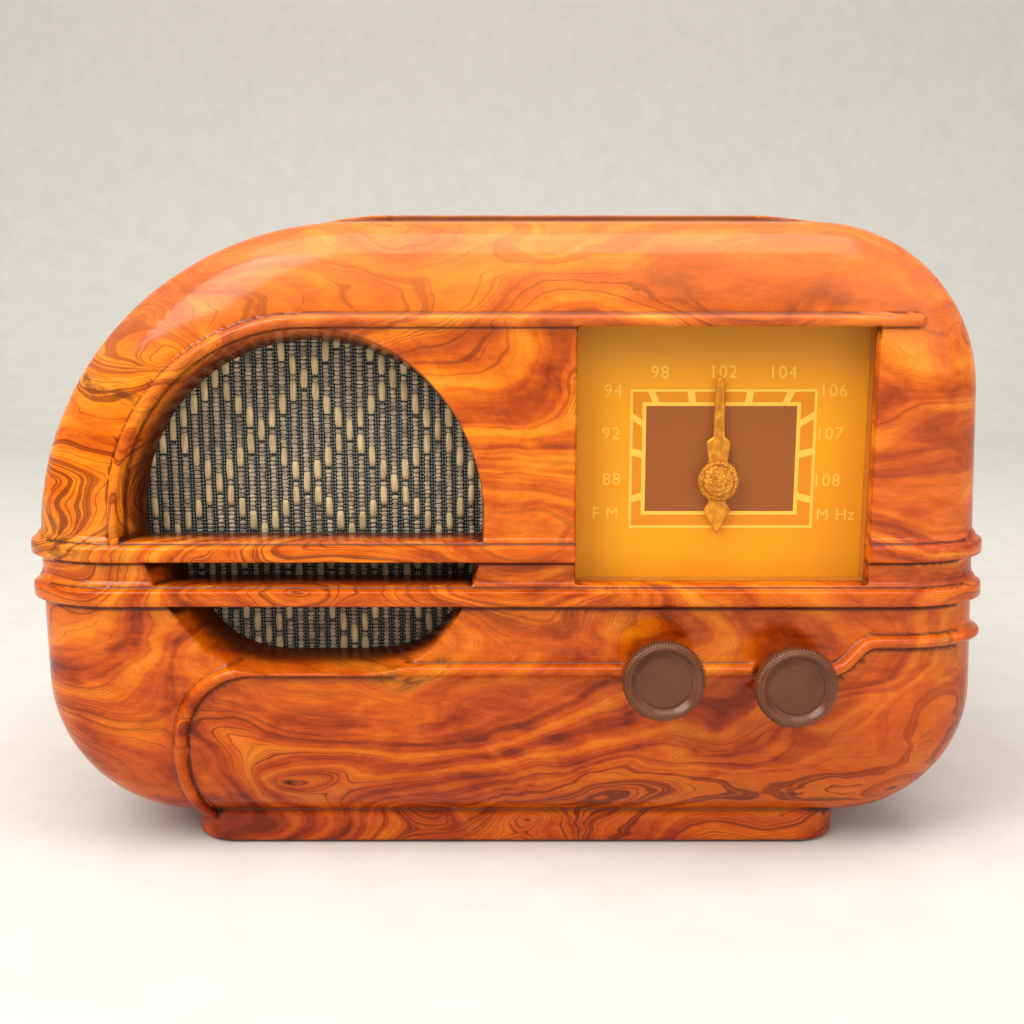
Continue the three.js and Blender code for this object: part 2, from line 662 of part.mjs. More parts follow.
/** A knob with a knurled rim ring and a dished face, bored from behind for its shaft. */
function knob({ x, z }) {
  const { r, front, back, bore } = KNOB;
  return turned([
    [SHAFT_R + GAP, back], [r - 1.4, back], [r - 1.2, front + 4.2], [r, front + 3.8],
    [r, front + 1.2], [r - 0.9, front + 0.2], [r - 2.2, front], [r - 3, front + 0.8],
    [r - 3.4, front + 1.1], [0, front + 1.8],
    [0, front + bore], [SHAFT_R + GAP, front + bore], [SHAFT_R + GAP, back],
  ], x, z, 28);
}

/** Threaded bush: neck through the panel, flange behind it. */
function tuningBush() {
  const { x, z } = TUNING;
  const y = PANEL_BACK + GAP;
  return turned([
    [SHAFT_R + 0.05, -0.6], [BUSH_R, -0.6], [BUSH_R, y], [7.5, y], [7.5, y + 2], [5, y + 2],
    [5, y + 5], [SHAFT_R + 0.05, y + 5], [SHAFT_R + 0.05, -0.6],
  ], x, z, 24);
}

function hexNut({ x, z }) {
  const y1 = KNOB_SEAT.sink - GAP;
  const nut = rod(x, z, 7, y1 - 1.6, y1, 6);
  return cut(nut, rod(x, z, BUSH_R + GAP, -10, 10, 24));
}

function tuningShaft() {
  const { x, z } = TUNING;
  const groove = DRUM.front + DRUM.thick / 2;
  return turned([
    [0, KNOB.front + KNOB.bore + GAP], [SHAFT_R, KNOB.front + KNOB.bore + GAP],
    [SHAFT_R, groove - 3.2], [6, groove - 3.2], [6, groove - 1.6], [CORD.groove, groove - 1.2],
    [CORD.groove, groove + 1.2], [6, groove + 1.6], [6, groove + 3.2], [SHAFT_R, groove + 3.2],
    [SHAFT_R, groove + 8], [0, groove + 8],
  ], x, z, 24);
}

/** Volume control: round can with a threaded neck and three solder tags. */
function volumeControl() {
  const { x, z } = VOLUME;
  const y = PANEL_BACK + GAP;
  const can = turned([
    [SHAFT_R + 0.05, -0.6], [BUSH_R, -0.6], [BUSH_R, y], [12, y], [12, y + 11], [0, y + 11],
    [0, y + 8], [SHAFT_R + 0.05, y + 8], [SHAFT_R + 0.05, -0.6],
  ], x, z, 28);
  const tags = [-5, 0, 5].map((dx) => box([x + dx - 1, y + 3, z - 16], [x + dx + 1, y + 3.8, z - 9]));
  return join(can, ...tags);
}

function volumeShaft() {
  const { x, z } = VOLUME;
  return rod(x, z, SHAFT_R, KNOB.front + KNOB.bore + GAP, PANEL_BACK + GAP + 8 - GAP, 24);
}

// ---------- circuit board and power supply ----------

function circuitBoard() {
  const { left, right, front, back, z, thick } = BOARD;
  const board = box([left, front, z], [right, back, z + thick]);
  const holes = [...BOARD_POSTS, ...BOARD_PEGS].map(([x, y]) => post(x, y, 1.9, z - 5, z + 5, 8));
  return cut(board, ...holes);
}

const BOARD_TOP = BOARD.z + BOARD.thick + GAP;

function shieldCan() {
  return box([52, 72, BOARD_TOP], [92, 104, BOARD_TOP + 17]);
}

function filterCapacitor(x, y) {
  return post(x, y, 8, BOARD_TOP, BOARD_TOP + 30, 24);
}

const SUPPLY = { x: -72, y: 108, z: WALL + GAP };

/** Laminated iron core: a square figure of eight around the coil, with two mounting feet. */
function transformerCore() {
  const { x, y, z } = SUPPLY;
  const block = box([x - 24, y - 9, z], [x + 24, y + 9, z + 40]);
  const windows = [-1, 1].map((side) => {
    const [a, b] = side < 0 ? [x - 16, x - 8] : [x + 8, x + 16];
    return box([a, y - 20, z + 8], [b, y + 20, z + 32]);
  });
  return cut(block, ...windows);
}

function transformerCoil() {
  const { x, y, z } = SUPPLY;
  const coil = box([x - 15.6, y - 17, z + 8.4], [x + 15.6, y + 17, z + 31.6]);
  return cut(coil, box([x - 8 - GAP, y - 9 - GAP, z], [x + 8 + GAP, y + 9 + GAP, z + 40]));
}

// ---------- the object ----------

const FINISHES = {
  burl: { color: 0xd9772f, roughness: 0.18, metalness: 0 },
  hardboard: { color: 0x6b4a30, roughness: 0.85, metalness: 0 },
  steel: { color: 0xa9abad, roughness: 0.35, metalness: 1 },
  brass: { color: 0xe0a132, roughness: 0.35, metalness: 1 },
  zinc: { color: 0x8f9396, roughness: 0.5, metalness: 1 },
  felt: { color: 0x2b2622, roughness: 0.95, metalness: 0 },
  cloth: { color: 0x3a4440, roughness: 0.9, metalness: 0 },
  cone: { color: 0x26221f, roughness: 0.9, metalness: 0 },
  ferrite: { color: 0x2c2c2e, roughness: 0.7, metalness: 0 },
  glass: { color: 0xf6eedd, roughness: 0.05, metalness: 0 },
  amber: { color: 0xf0a014, roughness: 0.3, metalness: 0 },
  brown: { color: 0x73503a, roughness: 0.4, metalness: 0 },
  board: { color: 0xa87a3c, roughness: 0.6, metalness: 0 },
  black: { color: 0x1d1b1a, roughness: 0.5, metalness: 0 },
  cord: { color: 0xcdbb8f, roughness: 0.9, metalness: 0 },
  bulb: { color: 0xfff2cf, roughness: 0.05, metalness: 0 },
  aluminium: { color: 0xc4c7c9, roughness: 0.4, metalness: 1 },
  copper: { color: 0xb0622c, roughness: 0.5, metalness: 0.4 },
};

const radio = new THREE.Group();

function add(name, finish, body) {
  const mesh = new THREE.Mesh(geometryOf(body), new THREE.MeshStandardMaterial(FINISHES[finish]));
  mesh.name = name;
  radio.add(mesh);
}

add('cabinet', 'burl', cabinet());
add('back_cover', 'hardboard', backCover());
backScrewPlaces().forEach(([x, z], i) => {
  add(`back_screw_${i + 1}`, 'steel', panScrew(x, z, COVER_FRONT + COVER_THICK + GAP, 14));
});
footPlaces().forEach(([x, y], i) => {
  add(`foot_${i + 1}`, 'felt', post(x, y, FOOT.r, -FOOT.proud, FOOT.sink - GAP, 14));
});
add('mains_inlet', 'black', mainsInlet());
add('aerial_terminals', 'black', aerialBlock());

add('grille_cloth', 'cloth', grilleCloth());
add('baffle_board', 'hardboard', baffleBoard());
baffleScrewPlaces().forEach(([x, z], i) => {
  add(`baffle_screw_${i + 1}`, 'steel', panScrew(x, z, BAFFLE.front + BAFFLE.thick + GAP, 10));
});
add('speaker_basket', 'zinc', speakerBasket());
add('speaker_cone', 'cone', speakerCone());
add('speaker_dust_cap', 'cone', speakerDustCap());
add('speaker_magnet', 'ferrite', speakerMagnet());
add('speaker_yoke', 'zinc', speakerYoke());
speakerScrewPlaces().forEach(([x, z], i) => {
  add(`speaker_screw_${i + 1}`, 'steel', panScrew(x, z, SPEAKER.front + 1.5 + GAP, 5));
});

add('dial_cover', 'glass', dialSheet(...DIAL_COVER, DIAL_EDGE));
add('dial_spacer', 'brown', dialSpacer());
add('dial_plate', 'amber', dialPlate());
add('pointer', 'brass', pointer());
add('pointer_hub_cap', 'brass', hubCap());
add('tuning_spindle', 'steel', tuningSpindle());
add('cord_drum', 'brown', cordDrum());
add('dial_cord', 'cord', dialCord());
add('tuner_bracket', 'zinc', bracket());
BRACKET_POSTS.forEach(([x, z], i) => {
  add(`bracket_screw_${i + 1}`, 'steel', panScrew(x, z, BRACKET.front + BRACKET.thick + GAP, 8, 2.8));
});
add('tuner_frame', 'aluminium', tunerFrame());
add('tuner_rotor', 'aluminium', tunerRotor());
add('tuner_stator', 'aluminium', tunerStator());
for (const [side, place] of Object.entries(LAMPS)) {
  add(`lamp_holder_${side}`, 'brass', lampHolder(place));
  add(`lamp_bulb_${side}`, 'bulb', lampBulb(place));
}

add('tuning_knob', 'brown', knob(TUNING));
add('tuning_shaft', 'steel', tuningShaft());
add('tuning_bush', 'brass', tuningBush());
add('tuning_nut', 'steel', hexNut(TUNING));
add('volume_knob', 'brown', knob(VOLUME));
add('volume_shaft', 'steel', volumeShaft());
add('volume_control', 'zinc', volumeControl());
add('volume_nut', 'steel', hexNut(VOLUME));

add('circuit_board', 'board', circuitBoard());
BOARD_POSTS.forEach(([x, y], i) => {
  add(`board_screw_${i + 1}`, 'steel', boardScrew(x, y, BOARD_TOP, 7));
});
add('shield_can', 'aluminium', shieldCan());
add('filter_capacitor', 'black', filterCapacitor(20, 112));
add('transformer_core', 'zinc', transformerCore());
add('transformer_coil', 'copper', transformerCoil());

// The origin is the middle of the underside of the box around the whole radio.
const extent = new THREE.Box3().setFromObject(radio);
const middle = extent.getCenter(new THREE.Vector3());
radio.position.set(-middle.x, -middle.y, -extent.min.z);

export default radio;
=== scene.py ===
# A table radio with a glossy burl-figured cabinet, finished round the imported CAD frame.
import bmesh
import bpy
import numpy as np
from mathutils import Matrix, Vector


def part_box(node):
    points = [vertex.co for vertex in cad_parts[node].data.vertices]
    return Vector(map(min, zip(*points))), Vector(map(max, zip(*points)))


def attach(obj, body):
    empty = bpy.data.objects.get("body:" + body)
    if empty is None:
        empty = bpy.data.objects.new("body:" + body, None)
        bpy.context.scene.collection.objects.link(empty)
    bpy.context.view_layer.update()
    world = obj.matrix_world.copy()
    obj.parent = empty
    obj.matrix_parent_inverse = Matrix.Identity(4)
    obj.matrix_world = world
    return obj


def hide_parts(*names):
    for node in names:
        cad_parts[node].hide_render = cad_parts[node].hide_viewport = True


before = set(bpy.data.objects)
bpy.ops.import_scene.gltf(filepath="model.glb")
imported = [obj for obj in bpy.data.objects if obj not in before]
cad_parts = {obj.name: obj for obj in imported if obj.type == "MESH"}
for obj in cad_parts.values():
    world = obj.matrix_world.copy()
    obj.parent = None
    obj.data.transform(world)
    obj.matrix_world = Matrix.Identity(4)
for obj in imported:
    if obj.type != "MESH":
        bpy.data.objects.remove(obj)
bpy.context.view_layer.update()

import openvdb
from mathutils import Vector

MM = 0.001
SCENE = bpy.context.scene

# ---- places, from the CAD frame
# Millimetres from the set's own origin: X right, Y back from the front panel, Z up from the plinth.
cloth_lo, cloth_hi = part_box("grille_cloth")
cover_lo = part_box("back_cover")[0]
CLOTH_CENTRE = (-63.2, 108.5)
COVER_FRONT = 141.5
ORIGIN = Vector((
    (cloth_lo.x + cloth_hi.x) / 2 - CLOTH_CENTRE[0] * MM,
    cover_lo.y - COVER_FRONT * MM,
    (cloth_lo.z + cloth_hi.z) / 2 - CLOTH_CENTRE[1] * MM,
))


def local(node):
    """A CAD node's corners in millimetres from the set's origin."""
    low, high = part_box(node)
    return (low - ORIGIN) / MM, (high - ORIGIN) / MM


def middle(node):
    low, high = local(node)
    return (low + high) / 2


# ---- camera and light
def add_camera():
    data = bpy.data.cameras.new("camera")
    data.sensor_width = 36
    data.lens = 43.95
    data.clip_start = 0.01
    camera = bpy.data.objects.new("camera", data)
    camera.location = (0.0014, -0.435, 0.1804)
    camera.rotation_euler = (np.radians(79.35), 0, 0)
    SCENE.collection.objects.link(camera)
    SCENE.camera = camera


def add_area(name, place, aim, size, power, color):
    data = bpy.data.lights.new(name, "AREA")
    data.shape = "RECTANGLE"
    data.size, data.size_y = size
    data.energy = power
    data.color = color
    lamp = bpy.data.objects.new(name, data)
    lamp.location = place
    lamp.rotation_euler = (Vector(aim) - Vector(place)).to_track_quat("-Z", "Y").to_euler()
    SCENE.collection.objects.link(lamp)


def add_lights():
    world = bpy.data.worlds.new("studio")
    world.use_nodes = True
    tree = world.node_tree
    back = tree.nodes["Background"]
    ramp = tree.nodes.new("ShaderNodeValToRGB")
    height = tree.nodes.new("ShaderNodeSeparateXYZ")
    tree.links.new(tree.nodes.new("ShaderNodeTexCoord").outputs["Generated"], height.inputs[0])
    tree.links.new(height.outputs["Z"], ramp.inputs[0])
    tree.links.new(ramp.outputs["Color"], back.inputs[0])
    low, high = ramp.color_ramp.elements
    low.position, low.color = 0.05, (0.20, 0.19, 0.175, 1)
    high.position, high.color = 0.6, (1.0, 0.975, 0.94, 1)
    back.inputs[1].default_value = 0.98
    SCENE.world = world
    aim = (0, 0, 0.09)
    add_area("key", (-0.75, -0.75, 1.05), aim, (0.7, 0.8), 12, (1.0, 0.965, 0.90))
    add_area("fill", (0.95, -0.95, 0.55), aim, (1.2, 0.8), 3.5, (1.0, 0.92, 0.84))
    add_area("top", (0.0, -0.28, 1.2), aim, (1.3, 0.7), 10, (1.0, 0.97, 0.93))
    SCENE.view_settings.view_transform = "Standard"


# ---- node helpers
class Tree:
    """A material's node tree, with short calls for the nodes that the finishes use."""

    def __init__(self, name):
        self.material = bpy.data.materials.new(name)
        self.material.use_nodes = True
        self.tree = self.material.node_tree
        self.shader = self.tree.nodes["Principled BSDF"]

    def add(self, kind, **settings):
        node = self.tree.nodes.new(kind)
        for key, value in settings.items():
            setattr(node, key, value)
        return node

    def link(self, source, socket):
        self.tree.links.new(source, socket)

    def feed(self, socket, value):
        if isinstance(value, bpy.types.NodeSocket):
            self.link(value, socket)
        elif value is not None:
            socket.default_value = value

    def coords(self, scale=(1, 1, 1)):
        source = self.add("ShaderNodeTexCoord").outputs["Object"]
        mapping = self.add("ShaderNodeMapping")
        self.link(source, mapping.inputs["Vector"])
        mapping.inputs["Scale"].default_value = scale
        return mapping.outputs["Vector"]

    def math(self, operation, a, b=None, c=None):
        node = self.add("ShaderNodeMath", operation=operation)
        for socket, value in zip(node.inputs, (a, b, c)):
            self.feed(socket, value)
        return node.outputs[0]

    def times(self, a, b):
        return self.math("MULTIPLY", a, b)

    def plus(self, a, b):
        return self.math("ADD", a, b)

    def warp(self, vector, scale, reach):
        """The vector moved about by noise, by up to half of reach on each axis."""
        centred = self.add("ShaderNodeVectorMath", operation="SUBTRACT")
        self.link(self.noise(vector, scale, color=True), centred.inputs[0])
        centred.inputs[1].default_value = (0.5, 0.5, 0.5)
        scaled = self.add("ShaderNodeVectorMath", operation="SCALE")
        self.link(centred.outputs[0], scaled.inputs[0])
        scaled.inputs["Scale"].default_value = reach
        moved = self.add("ShaderNodeVectorMath", operation="ADD")
        self.link(vector, moved.inputs[0])
        self.link(scaled.outputs[0], moved.inputs[1])
        return moved.outputs[0]

    def split(self, vector):
        node = self.add("ShaderNodeSeparateXYZ")
        self.link(vector, node.inputs[0])
        return node.outputs

    def noise(self, vector, scale, detail=2.0, roughness=0.5, color=False):
        node = self.add("ShaderNodeTexNoise")
        self.link(vector, node.inputs["Vector"])
        node.inputs["Scale"].default_value = scale
        node.inputs["Detail"].default_value = detail
        node.inputs["Roughness"].default_value = roughness
        return node.outputs["Color" if color else "Fac"]

    def cells(self, vector, scale, feature="F1"):
        node = self.add("ShaderNodeTexVoronoi", feature=feature)
        self.link(vector, node.inputs["Vector"])
        node.inputs["Scale"].default_value = scale
        return node.outputs["Distance"]

    def remap(self, value, low, high, to_low=0.0, to_high=1.0):
        node = self.add("ShaderNodeMapRange", interpolation_type="SMOOTHSTEP")
        self.feed(node.inputs["Value"], value)
        for name, number in zip(("From Min", "From Max", "To Min", "To Max"), (low, high, to_low, to_high)):
            node.inputs[name].default_value = number
        return node.outputs["Result"]

    def ramp(self, value, stops):
        node = self.add("ShaderNodeValToRGB")
        self.feed(node.inputs[0], value)
        elements = node.color_ramp.elements
        while len(elements) < len(stops):
            elements.new(0.5)
        for element, (place, color) in zip(elements, stops):
            element.position = place
            element.color = (*color, 1)
        return node.outputs["Color"]

    def mix(self, factor, a, b, blend="MIX"):
        node = self.add("ShaderNodeMix", data_type="RGBA", blend_type=blend)
        self.feed(node.inputs[0], factor)
        for socket, value in ((node.inputs[6], a), (node.inputs[7], b)):
            if isinstance(value, bpy.types.NodeSocket):
                self.link(value, socket)
            else:
                socket.default_value = (*value, 1)
        return node.outputs[2]

    def bump(self, height, distance, strength=1.0):
        node = self.add("ShaderNodeBump")
        self.link(height, node.inputs["Height"])
        node.inputs["Distance"].default_value = distance
        node.inputs["Strength"].default_value = strength
        return node.outputs["Normal"]

    def finish(self, color=None, roughness=None, normal=None, **constants):
        self.feed(self.shader.inputs["Base Color"], color if not isinstance(color, tuple) else (*color, 1))
        self.feed(self.shader.inputs["Roughness"], roughness)
        if normal is not None:
            self.link(normal, self.shader.inputs["Normal"])
        for name, value in constants.items():
            self.shader.inputs[name.replace("_", " ")].default_value = value
        return self.material


def srgb(red, green, blue):
    """A linear colour from 0 to 255 display values."""
    return tuple(
        (c / 255 / 12.92 if c / 255 <= 0.04045 else ((c / 255 + 0.055) / 1.055) ** 2.4)
        for c in (red, green, blue)
    )


# ---- finishes
def burl_finish():
    """Glossy burl: irregular grain that follows the contours of a warped field and swirls round eyes."""
    t = Tree("burl")
    flow = t.warp(t.warp(t.coords(scale=(1.0, 1.0, 1.9)), 10.0, 0.09), 46.0, 0.010)

    # the eyes: small knots whose rings bend the grain about them
    to_eye = t.cells(flow, 21.0)
    some = t.remap(t.noise(flow, 9.0, 1.0), 0.44, 0.54)
    pull = t.times(t.remap(to_eye, 0.0, 0.42, 1.0, 0.0), some)
    field = t.plus(t.noise(flow, 6.5, 1.0, 0.4), t.times(pull, 0.085))

    def grain(scale, detail, roughness):
        node = t.add("ShaderNodeTexNoise", noise_dimensions="1D")
        t.link(t.times(field, scale), node.inputs["W"])
        node.inputs["Scale"].default_value = 1.0
        node.inputs["Detail"].default_value = detail
        node.inputs["Roughness"].default_value = roughness
        return node.outputs["Fac"]

    bands = grain(30.0, 2.0, 0.5)
    lines = grain(70.0, 2.0, 0.6)
    cloud = t.noise(flow, 14.0, 3.0, 0.6)
    mottle = t.noise(flow, 70.0, 4.0, 0.68)
    fibre = t.noise(t.coords(scale=(0.25, 0.6, 1.6)), 560.0, 3.0, 0.65)

    tone = t.times(bands, 0.40)
    tone = t.plus(tone, t.times(cloud, 0.55))
    tone = t.plus(tone, t.times(mottle, 0.42))
    tone = t.plus(tone, t.times(fibre, 0.13))
    color = t.ramp(tone, (
        (0.57, srgb(128, 42, 3)),
        (0.67, srgb(184, 74, 5)),
        (0.76, srgb(217, 103, 8)),
        (0.85, srgb(238, 132, 18)),
        (0.96, srgb(250, 160, 42)),
    ))
    region = t.remap(t.noise(flow, 11.0, 2.0), 0.38, 0.62, 0.25, 1.0)
    edge = t.math("ABSOLUTE", t.math("SUBTRACT", lines, 0.5))
    vein = t.times(t.remap(edge, 0.0, 0.05, 1.0, 0.0), region)
    color = t.mix(t.times(vein, 0.78), color, srgb(104, 34, 5))
    burr = t.times(t.remap(cloud, 0.58, 0.70), t.remap(mottle, 0.46, 0.62))
    color = t.mix(t.times(burr, 0.8), color, srgb(92, 30, 6))
    heart = t.times(t.remap(to_eye, 0.02, 0.09, 1.0, 0.0), some)
    color = t.mix(t.times(heart, 0.85), color, srgb(66, 24, 10))
    stain = t.times(t.remap(cloud, 0.42, 0.30), 0.4)
    color = t.mix(stain, color, srgb(150, 54, 14))
    x, _, z = t.split(t.coords())
    # painted haze: the burl turns pinker towards the right side and the top, a painted reflection
    painted_haze = t.math("MAXIMUM", t.remap(x, 0.05, 0.14, 0.0, 0.5), t.remap(z, 0.12, 0.19, 0.0, 0.3))
    color = t.mix(painted_haze, color, t.mix(0.4, color, srgb(208, 96, 62)))
    # painted sheen: the colour turns paler towards the top
    color = t.mix(t.remap(z, 0.145, 0.195, 0.0, 0.38), color, srgb(240, 138, 70))
    # painted shade: the colour turns darker and redder towards the bottom
    deep = t.mix(1.0, color, srgb(212, 172, 96), "MULTIPLY")
    color = t.mix(t.remap(z, 0.015, 0.125, 0.9, 0.0), color, deep)
    # painted shade: the colour darkens where the hollow attribute marks recesses, grooves and the grille's
    # mouth
    groove = t.add("ShaderNodeAttribute", attribute_name="hollow").outputs["Fac"]
    color = t.mix(t.remap(groove, 0.05, 0.42, 0.0, 0.92), color, srgb(52, 13, 3))
    roughness = t.remap(t.noise(flow, 90.0, 3.0), 0.3, 0.7, 0.20, 0.32)
    normal = t.bump(t.noise(t.coords(), 28.0, 2.0), 0.00035, 0.25)
    return t.finish(
        color, roughness, normal,
        Coat_Weight=0.40, Coat_Roughness=0.12, Coat_IOR=1.5, IOR=1.5, Specular_IOR_Level=0.06,
    )


def plastic(name, color, roughness, mottle=0.08, scale=300.0, grain=0.00004, **constants):
    """Moulded plastic: a little cloudiness, a fine skin and some rubbed places."""
    t = Tree(name)
    where = t.coords()
    cloud = t.noise(where, scale * 0.2, 3.0, 0.6)
    dark = tuple(c * (1 - mottle * 3) for c in color)
    pale = tuple(min(1.0, c * (1 + mottle * 3) + 0.004) for c in color)
    shade = t.ramp(cloud, ((0.3, dark), (0.7, pale)))
    rub = t.remap(t.noise(where, scale * 0.5, 4.0, 0.6), 0.35, 0.7, roughness * 0.8, roughness * 1.25)
    normal = t.bump(t.noise(where, scale * 6, 2.0), grain, 0.6)
    return t.finish(shade, rub, normal, **constants)


def metal(name, color, roughness, streak=(1, 1, 1), scale=400.0, tarnish=0.25):
    """Worked metal: brushed or tarnished by noise along one direction."""
    t = Tree(name)
    where = t.coords(scale=streak)
    cloud = t.noise(where, scale * 0.15, 4.0, 0.6)
    dull = tuple(c * (1 - tarnish) for c in color)
    shade = t.ramp(cloud, ((0.32, dull), (0.68, color)))
    rub = t.remap(t.noise(where, scale, 3.0, 0.6), 0.3, 0.7, roughness * 0.7, roughness * 1.35)
    normal = t.bump(t.noise(where, scale * 2.5, 2.0), 0.00003, 0.5)
    return t.finish(shade, rub, normal, Metallic=1.0)


def hardboard_finish():
    """Pressed fibre board: dark brown, with fibres and a fine weave pressed in."""
    t = Tree("hardboard")
    where = t.coords()
    fibre = t.noise(t.coords(scale=(1, 1, 0.3)), 520.0, 4.0, 0.65)
    cloud = t.noise(where, 40.0, 3.0)
    shade = t.ramp(
        t.math("MULTIPLY_ADD", fibre, 0.6, t.times(cloud, 0.4)),
        ((0.3, srgb(66, 40, 24)), (0.5, srgb(96, 62, 38)), (0.72, srgb(128, 88, 56))),
    )
    x, _, z = t.split(t.coords(scale=(4200, 4200, 4200)))
    weave = t.times(t.math("SINE", x), t.math("SINE", z))
    normal = t.bump(t.math("MULTIPLY_ADD", fibre, 1.4, weave), 0.00010, 0.5)
    return t.finish(shade, t.remap(fibre, 0.3, 0.7, 0.55, 0.8), normal)


def paper_finish(name, dark, pale):
    t = Tree(name)
    where = t.coords()
    fibre = t.noise(where, 900.0, 4.0, 0.7)
    shade = t.ramp(t.math("MULTIPLY_ADD", fibre, 0.7, t.times(t.noise(where, 90.0), 0.3)),
                   ((0.35, dark), (0.68, pale)))
    return t.finish(shade, 0.85, t.bump(fibre, 0.0001, 0.6))


def glass_finish(name, color, alpha, roughness):
    t = Tree(name)
    haze = t.noise(t.coords(), 26.0, 3.0, 0.6)
    rub = t.remap(haze, 0.3, 0.7, roughness * 0.7, roughness * 1.5)
    t.shader.inputs["Alpha"].default_value = alpha
    return t.finish(color, rub, None, IOR=1.5)


# ---- meshes
def make_object(name, points, faces, material, smooth=True, node=None, body="case", slot=None):
    """A piece from points in millimetres, riding on a body."""
    mesh = bpy.data.meshes.new(name)
    mesh.from_pydata([Vector(p) * MM + ORIGIN for p in points], [], faces)
    mesh.validate()
    if smooth:
        mesh.shade_smooth()
    return dress(name, mesh, material, node, body)


def dress(name, mesh, material, node, body):
    mesh.materials.append(material)
    piece = bpy.data.objects.new(name, mesh)
    SCENE.collection.objects.link(piece)
    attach(piece, body)
    if node:
        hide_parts(node)
    return piece


# ---- cabinet form
# The moulding is a field in millimetres, below zero inside the material, that is meshed at the end.
CORNERS = ((-101, 55, 46), (105, 51, 42), (91.2, 144, 52), (-47, 96, 100))
DEPTH = 150
WALL = 4
PANEL_BACK = 5.5
ROLL = (28, 18)
BAND_1 = (94.9, 100.4)
BAND_2 = (81.2, 86.8)
BAND_PROUD = 3.0
DIAL = (20, 108.5, 88, 165.4)
LEDGE = 3.3
CLOTH_Y = 16.7
MOUTH_REACH = 66
VOLUME = (45.9, 62)
TUNING = (85.2, 60)
RELIEF_STEP = 0.25
RELIEF_LOW = (-158.0, -6.0)
RELIEF_SIZE = (1264, 852)


def smooth(value, low, high):
    t = np.clip((value - low) / (high - low), 0, 1)
    return t * t * (3 - 2 * t)


def smooth_max(a, b, k):
    h = np.clip(0.5 - 0.5 * (b - a) / k, 0, 1)
    return b + (a - b) * h + k * h * (1 - h)


def smooth_min(a, b, k):
    return -smooth_max(-a, -b, k)


def outer_tangents():
    """Between neighbouring corner circles: the common tangent's normal and its offset."""
    lines = []
    for i, (xa, za, ra) in enumerate(CORNERS):
        xb, zb, rb = CORNERS[(i + 1) % len(CORNERS)]
        dx, dz = xb - xa, zb - za
        angle = np.arctan2(dz, dx) - np.pi / 2 - np.arcsin((rb - ra) / np.hypot(dx, dz))
        nx, nz = float(np.cos(angle)), float(np.sin(angle))
        lines.append((nx, nz, nx * xa + nz * za + ra))
    return lines


TANGENTS = outer_tangents()


def outline(x, z):
    """Signed distance in the front view to the cabinet's outline."""
    d = np.full_like(x, -1e3)
    for nx, nz, offset in TANGENTS:
        d = np.maximum(d, nx * x + nz * z - offset)
    for i, (cx, cz, r) in enumerate(CORNERS):
        before, after = TANGENTS[i - 1], TANGENTS[i]
        px, pz = x - cx, z - cz
        facing = (before[0] * pz >= before[1] * px) & (px * after[1] >= pz * after[0])
        d = np.where(facing, np.maximum(d, np.hypot(px, pz) - r), d)
    return d


def rolled(flat, y, front, wide, deep):
    """The outline run back from the front, its front edge a quarter ellipse."""
    u = np.maximum((wide + flat) / wide, 0)
    v = np.maximum((front + deep - y) / deep, 0)
    g = np.hypot(u, v) + 1e-6
    slope = np.hypot(u / wide, v / deep) + 1e-6
    return np.where((u > 0) & (v > 0), (g - 1) * g / slope, np.maximum(flat, front - y))


def curve(start, *cubics, steps=10):
    """Points along joined cubic curves; a two-number entry is a straight line to it."""
    points = [np.array(start, float)]
    for cubic in cubics:
        a = points[-1]
        if np.ndim(cubic) == 1:
            points.append(np.array(cubic, float))
            continue
        b, c, d = (np.array(p, float) for p in cubic)
        for i in range(1, steps + 1):
            t = i / steps
            s = 1 - t
            points.append(a * s ** 3 + 3 * b * t * s ** 2 + 3 * c * t * t * s + d * t ** 3)
    return np.array(points)


def distance_to(points, x, z):
    best = np.full_like(x, 1e9)
    for a, b in zip(points[:-1], points[1:]):
        side = b - a
        t = np.clip(((x - a[0]) * side[0] + (z - a[1]) * side[1]) / (side @ side), 0, 1)
        best = np.minimum(best, (x - a[0] - t * side[0]) ** 2 + (z - a[1] - t * side[1]) ** 2)
    return np.sqrt(best)


def inside_of(points, x, z):
    """True inside a closed polygon."""
    odd = np.zeros(x.shape, bool)
    for a, b in zip(points, np.roll(points, -1, axis=0)):
        if a[1] == b[1]:
            continue
        crosses = (a[1] > z) != (b[1] > z)
        odd ^= crosses & (x < (b[0] - a[0]) * (z - a[1]) / (b[1] - a[1]) + a[0])
    return odd


LOOP = curve(
    (-95.5, 8), ((-101.5, 16), (-103.8, 32), (-101, 44)), ((-99, 52), (-92, 60.6), (-80, 61.2)),
    (98, 61.2), ((105, 61.2), (105.5, 70), (112, 70.1)), (160, 70.1),
)
TRIM_ARC = [(-59.6 + 59 * np.cos(a), 108.2 + 59 * np.sin(a)) for a in np.linspace(np.pi, np.pi / 2, 22)]
TRIM_LINE = np.array([(-118.6, 101), *TRIM_ARC, (120.2, 167.2)])


def band_profile(z, low, high):
    """A band's height over the body: sharp under-edge, slightly crowned face, and a low step on top."""
    t = (z - low) / (high - low)
    face = BAND_PROUD - 0.35 * (2 * t - 1) ** 2
    step = smooth(z, low, low + 1) * (1 - smooth(z, high + 1.3, high + 2.3))
    edges = smooth(z, low - 0.25, low + 0.45) * (1 - smooth(z, high - 0.5, high + 0.5))
    return np.maximum(face * edges, step)


